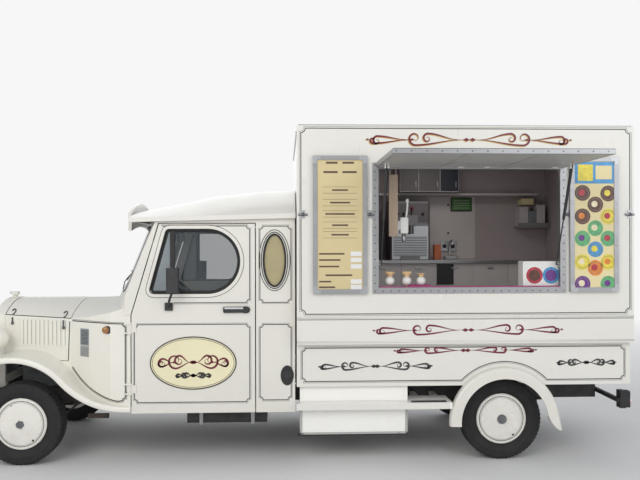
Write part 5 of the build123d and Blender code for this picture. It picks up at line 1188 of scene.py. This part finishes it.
# inside the cab
gauges = dict(x=866, z=1152, lean=(0.95, 0, 0.3), places=((350, 46), (470, 46), (560, 28), (270, 28)))
doorTrim = dict(card=865, face=858, pocket=838)
box("rearTrim", (2030, -840, 572), (2042, 840, 1840), liningGrey, 3)
for sign, side in sides:
    doorBody, inwards = "door_" + side.lower(), (0, -sign, 0)
    card, face, pocket = (sign * doorTrim[key] for key in ("card", "face", "pocket"))
    box("doorCard" + side, (880, card, 470), (1740, face, 1150), seatVinyl, 3, doorBody)
    box("doorPocket" + side, (980, card, 520), (1600, pocket, 640), darkPlastic, 8, doorBody)
    pull = ((1380, 856, 1000), (1390, 836, 1004), (1540, 836, 1014), (1550, 856, 1016))
    pipe("doorPull" + side, smoothRoute([(x, sign * y, z) for x, y, z in pull]), 8, darkPlastic, doorBody)
    turned("winderBoss" + side, [(0, 20), (8, 18), (10, 8), (10, 0)], (1160, face, 900), inwards, 20, chromeBright,
           doorBody)
    arm = [at(x, sign * y, z) for x, y, z in ((1160, 846, 900), (1200, 838, 850), (1222, 832, 822))]
    pipe("winderArm" + side, arm, 6, chromeBright, doorBody)
    turned("winderKnob" + side, [(0, 10), (16, 12), (20, 6), (20, 0)], (1222, sign * 836, 822), inwards, 16,
           darkPlastic, doorBody)
    visor = [(1052, 1835), (1056, 1700), (1070, 1702), (1066, 1838)]
    meshPiece("sunVisor" + side, prism(visor, sign * 150, sign * 620), seatVinyl, bevel=5)
for k, (y, radius) in enumerate(gauges["places"]):
    for name, profile, turns, material in (
        ("Ring", [(0, radius + 6), (6, radius + 6), (8, radius), (4, radius - 2), (4, 0)], 36, chromeBright),
        ("Face", [(4.4, radius - 2), (5, radius - 4), (5, 0)], 32, rubberBlack),
        ("Needle", [(5, 3), (6.5, 2.5), (6.6, 0)], 12, plateWhite),
    ):
        turned(f"gauge{name}{k}", profile, (gauges["x"], y, gauges["z"]), gauges["lean"], turns, material)
studs("dashSwitches", [(868, y, 1128) for y in range(-60, 181, 60)], (0.95, 0, -0.2), 9, 14, darkPlastic)
box("gloveLid", (862, -560, 1116), (873, -200, 1176), darkPlastic, 3)
studs("gloveKnob", [(873, -380, 1160)], (1, 0, 0), 8, 8, chromeBright)
pipe("gearLever", smoothRoute([(960, 20, 560), (985, 30, 760), (1040, 60, 900), (1050, 64, 960)]), 8, chromeBright)
turned("gearKnob", [(0, 10), (8, 20), (24, 24), (38, 18), (44, 0)], (1049, 63, 950), (0.1, 0.05, 1), 24, darkPlastic,
       smooth=True)
turned("gearGaiter", [(0, 62), (10, 56), (30, 40), (60, 20), (96, 11)], (960, 20, 552), (0.1, 0.02, 1), 24,
       rubberBlack, smooth=True)
pipe("brakeLever", smoothRoute([(1240, 140, 560), (1150, 140, 700), (1090, 140, 740)]), 9, darkPlastic)
for k, y in enumerate((330, 430, 530)):
    pipe(f"pedalArm{k}", smoothRoute([(700, y, 860), (690, y, 720), (716, y, 640)]), 6, underBlack)
    box(f"pedalPad{k}", (708, y - 30, 618), (722, y + 30, 676), rubberBlack, 3)
box("cabMat", (860, -780, 551), (1220, 780, 556), matGrey, 2)
turned("innerMirrorStem", [(0, 8), (40, 6), (41, 0)], (968, 0, 1840), (0.2, 0, -1), 12, darkPlastic)
roundBox("innerMirror", (966, -110, 1756), (982, 110, 1806), darkPlastic, 8)
box("innerMirrorFace", (982, -104, 1761), (984, 104, 1801), headBright)
print("inside the cab")

# sides low down, lockers and steps
locker = dict(front=2125, rear=2950, low=230, high=432, strip=16, out=905, panelFront=2146, panelRear=2930)
for sign, side in sides:
    ys = sorted((sign * 912, sign * 996))
    treads = [block((2970, ys[0] + 8 + k * 15, 482), (3240, ys[0] + 12 + k * 15, 484.5)) for k in range(5)]
    meshPiece("stepTread" + side, joined(treads), matGrey)
    box("stepEdge" + side, (2102, sign * 996, 434), (3262, sign * 1001, 481), panelWhite, 2)
    n, y = locker, sign * locker["out"]        # a plain panel each side, in an edge channel, in the lighter white that paints light on them
    for name, low, high in (("Panel", 246, 430), ("Upper", 486, 598)):
        box(f"locker{name}{side}", (n["panelFront"], y, low), (n["panelRear"], y + sign * 4, high), litLockerWhite, 2)
    edge = [block((x0, y, n["low"]), (x1, y + sign * 7, z1)) for x0, x1, z1 in (
        (n["front"], n["rear"], n["low"] + 14), (n["rear"] - n["strip"], n["rear"], n["high"]),
        (n["front"], n["front"] + n["strip"], n["high"]))]
    meshPiece("lockerEdge" + side, joined(edge), hatchLining, bevel=1.5)
    studs("lockerStuds" + side, [(x, y + sign * 7, 237) for x in (2150, 2880)], (0, sign, 0), 5, 3, rivetDark)
    pipe("lockerRail" + side, [at(x, sign * 880, 222) for x in (2110, 2960)], 9, underBlack)
    for k, x in enumerate((2126, 2530, 2944)):
        box(f"railBracket{side}{k}", (x - 5, sign * 872, 214), (x + 5, sign * 888, 262), underBlack)
    box("underStrip" + side, (480, sign * 690, 330), (640, sign * 720, 366), rustyBlack, 4)
print("steps and lockers")

# running gear and pipes
for sign, side in sides:
    for k, x in enumerate((-70, 3620)):        # shock absorbers
        pipe(f"damperTube{side}{k}", [at(x, sign * 330, 320), at(x, sign * 336, 420)], 24, underBlack)
        pipe(f"damperRod{side}{k}", [at(x, sign * 336, 400), at(x, sign * 344, 500)], 9, chromeBright)
    rivets = [(x, sign * 430, z) for x in range(-360, 4600, 165) for z in (412, 508)]
    studs("railRivets" + side, rivets, (0, sign, 0), 7, 4, underBlack)
for name, corners, steps, radius, material in (
    ("brakeLine", ((-100, 360, 430), (600, 362, 432), (1800, 362, 430), (3000, 362, 432), (3560, 350, 420)), 6, 4,
     alloyTrim),
    ("fuelLine", ((1300, -420, 470), (1180, -380, 480), (700, -350, 470), (300, -300, 520)), 6, 5, rubberBlack),
    ("fillerPipe", ((2020, -900, 668), (1990, -840, 620), (1900, -700, 540), (1860, -640, 500)), 8, 22, rubberBlack),
):
    pipe(name, smoothRoute(corners, steps), radius, material)
for k, x in enumerate((1360, 1760)):        # straps of the fuel tank
    strap = [block((x - 14, y0, z0), (x + 14, y1, z1)) for y0, y1, z0, z1 in (
        (-752, -432, 514, 518), (-754, -750, 283, 518), (-752, -432, 281, 285))]
    meshPiece(f"tankStrap{k}", joined(strap), alloyTrim, bevel=1)
print("running gear")

# stage, lights and camera
stageLook = dict(half=30, dark=(0.74, 0.74, 0.74, 1), light=(0.80, 0.80, 0.80, 1), rough=0.85, cloudScale=0.8,
                 cloudDetail=5.0, fadeStart=4.0, fadeEnd=13.0, glow=(0.93, 0.93, 0.93, 1))
lamps = dict(        # place, size, power, colour
    keyLamp=((-3.5, -8.0, 5.0), 5.0, 300, (1.0, 0.985, 0.955)),
    fillLamp=((5.0, -7.0, 4.0), 5.0, 150, (0.96, 0.98, 1.0)),
    rimLamp=((0.0, 7.5, 5.0), 6.0, 110, (1.0, 1.0, 1.0)),
    serveryLamp=(at(3400, -100, 2500), 0.5, 4.5, (1.0, 0.95, 0.92)))
skyLook = dict(colour=(0.92, 0.94, 0.97, 1), strength=0.60)
cameraSetup = dict(place=(2013.5, -7010, 1714), yaw=2.5, roll=0.10, lens=45.0, sensor=36)


def addFloor():
    # takes the shadow near the truck, and fades to the backdrop's colour far away
    look = stageLook
    material, tree, shader, place = newMaterial("floorPale")
    cloud = addNoise(tree, place, look["cloudScale"], look["cloudDetail"])
    grey = addNode(tree, "ValToRGB", {"Fac": cloud})
    for element, colour in zip(grey.node.color_ramp.elements, (look["dark"], look["light"])):
        element.color = colour
    setInputs(tree, shader, {"Base Color": grey, "Roughness": look["rough"]})
    away = addNode(tree, "VectorMath", {0: place}, "Value", operation="LENGTH")
    fade = addRange(tree, away, fromLow=look["fadeStart"], fromHigh=look["fadeEnd"])
    glow = addNode(tree, "Emission", {"Color": look["glow"]})
    both = addNode(tree, "MixShader", {"Fac": fade, 1: shader.outputs["BSDF"], 2: glow})
    setInputs(tree, tree.nodes["Material Output"], {"Surface": both})
    h = look["half"]
    mesh = bpy.data.meshes.new("floor")
    mesh.from_pydata([(-h, -h, 0), (h, -h, 0), (h, h, 0), (-h, h, 0)], [], [(0, 1, 2, 3)])
    mesh.materials.append(material)
    addObject("floor", mesh)


addFloor()
for name, (place, size, power, colour) in lamps.items():
    lamp = bpy.data.lights.new(name, "AREA")
    lamp.size, lamp.energy, lamp.color = size, power, colour
    holder = addObject(name, lamp)
    holder.location = place
    if name != "serveryLamp":        # that one shines straight down
        holder.rotation_euler = (Vector((0, 0, 1)) - Vector(place)).to_track_quat("-Z", "Y").to_euler()

world = bpy.data.worlds.new("studio")
world.use_nodes = True
bpy.context.scene.world = world
tree = world.node_tree
setInputs(tree, tree.nodes["Background"], {"Color": skyLook["colour"], "Strength": skyLook["strength"]})
backdrop = addNode(tree, "Background", {"Color": stageLook["glow"], "Strength": 1.0})
rays = tree.nodes.new("ShaderNodeLightPath").outputs
seen = addNode(tree, "Math", {0: rays["Is Camera Ray"], 1: rays["Is Transmission Ray"]}, operation="MAXIMUM")
blend = addNode(tree, "MixShader", {"Fac": seen, 1: tree.nodes["Background"].outputs["Background"], 2: backdrop})
setInputs(tree, tree.nodes["World Output"], {"Surface": blend})

cameraData = bpy.data.cameras.new("camera")
cameraData.lens = cameraSetup["lens"]
cameraData.sensor_width = cameraSetup["sensor"]
camera = addObject("camera", cameraData)
camera.location = at(*cameraSetup["place"])
camera.rotation_euler = (radians(90), radians(cameraSetup["roll"]), radians(-cameraSetup["yaw"]))
bpy.context.scene.camera = camera
bpy.context.scene.view_settings.view_transform = "Standard"
print("stage and camera")
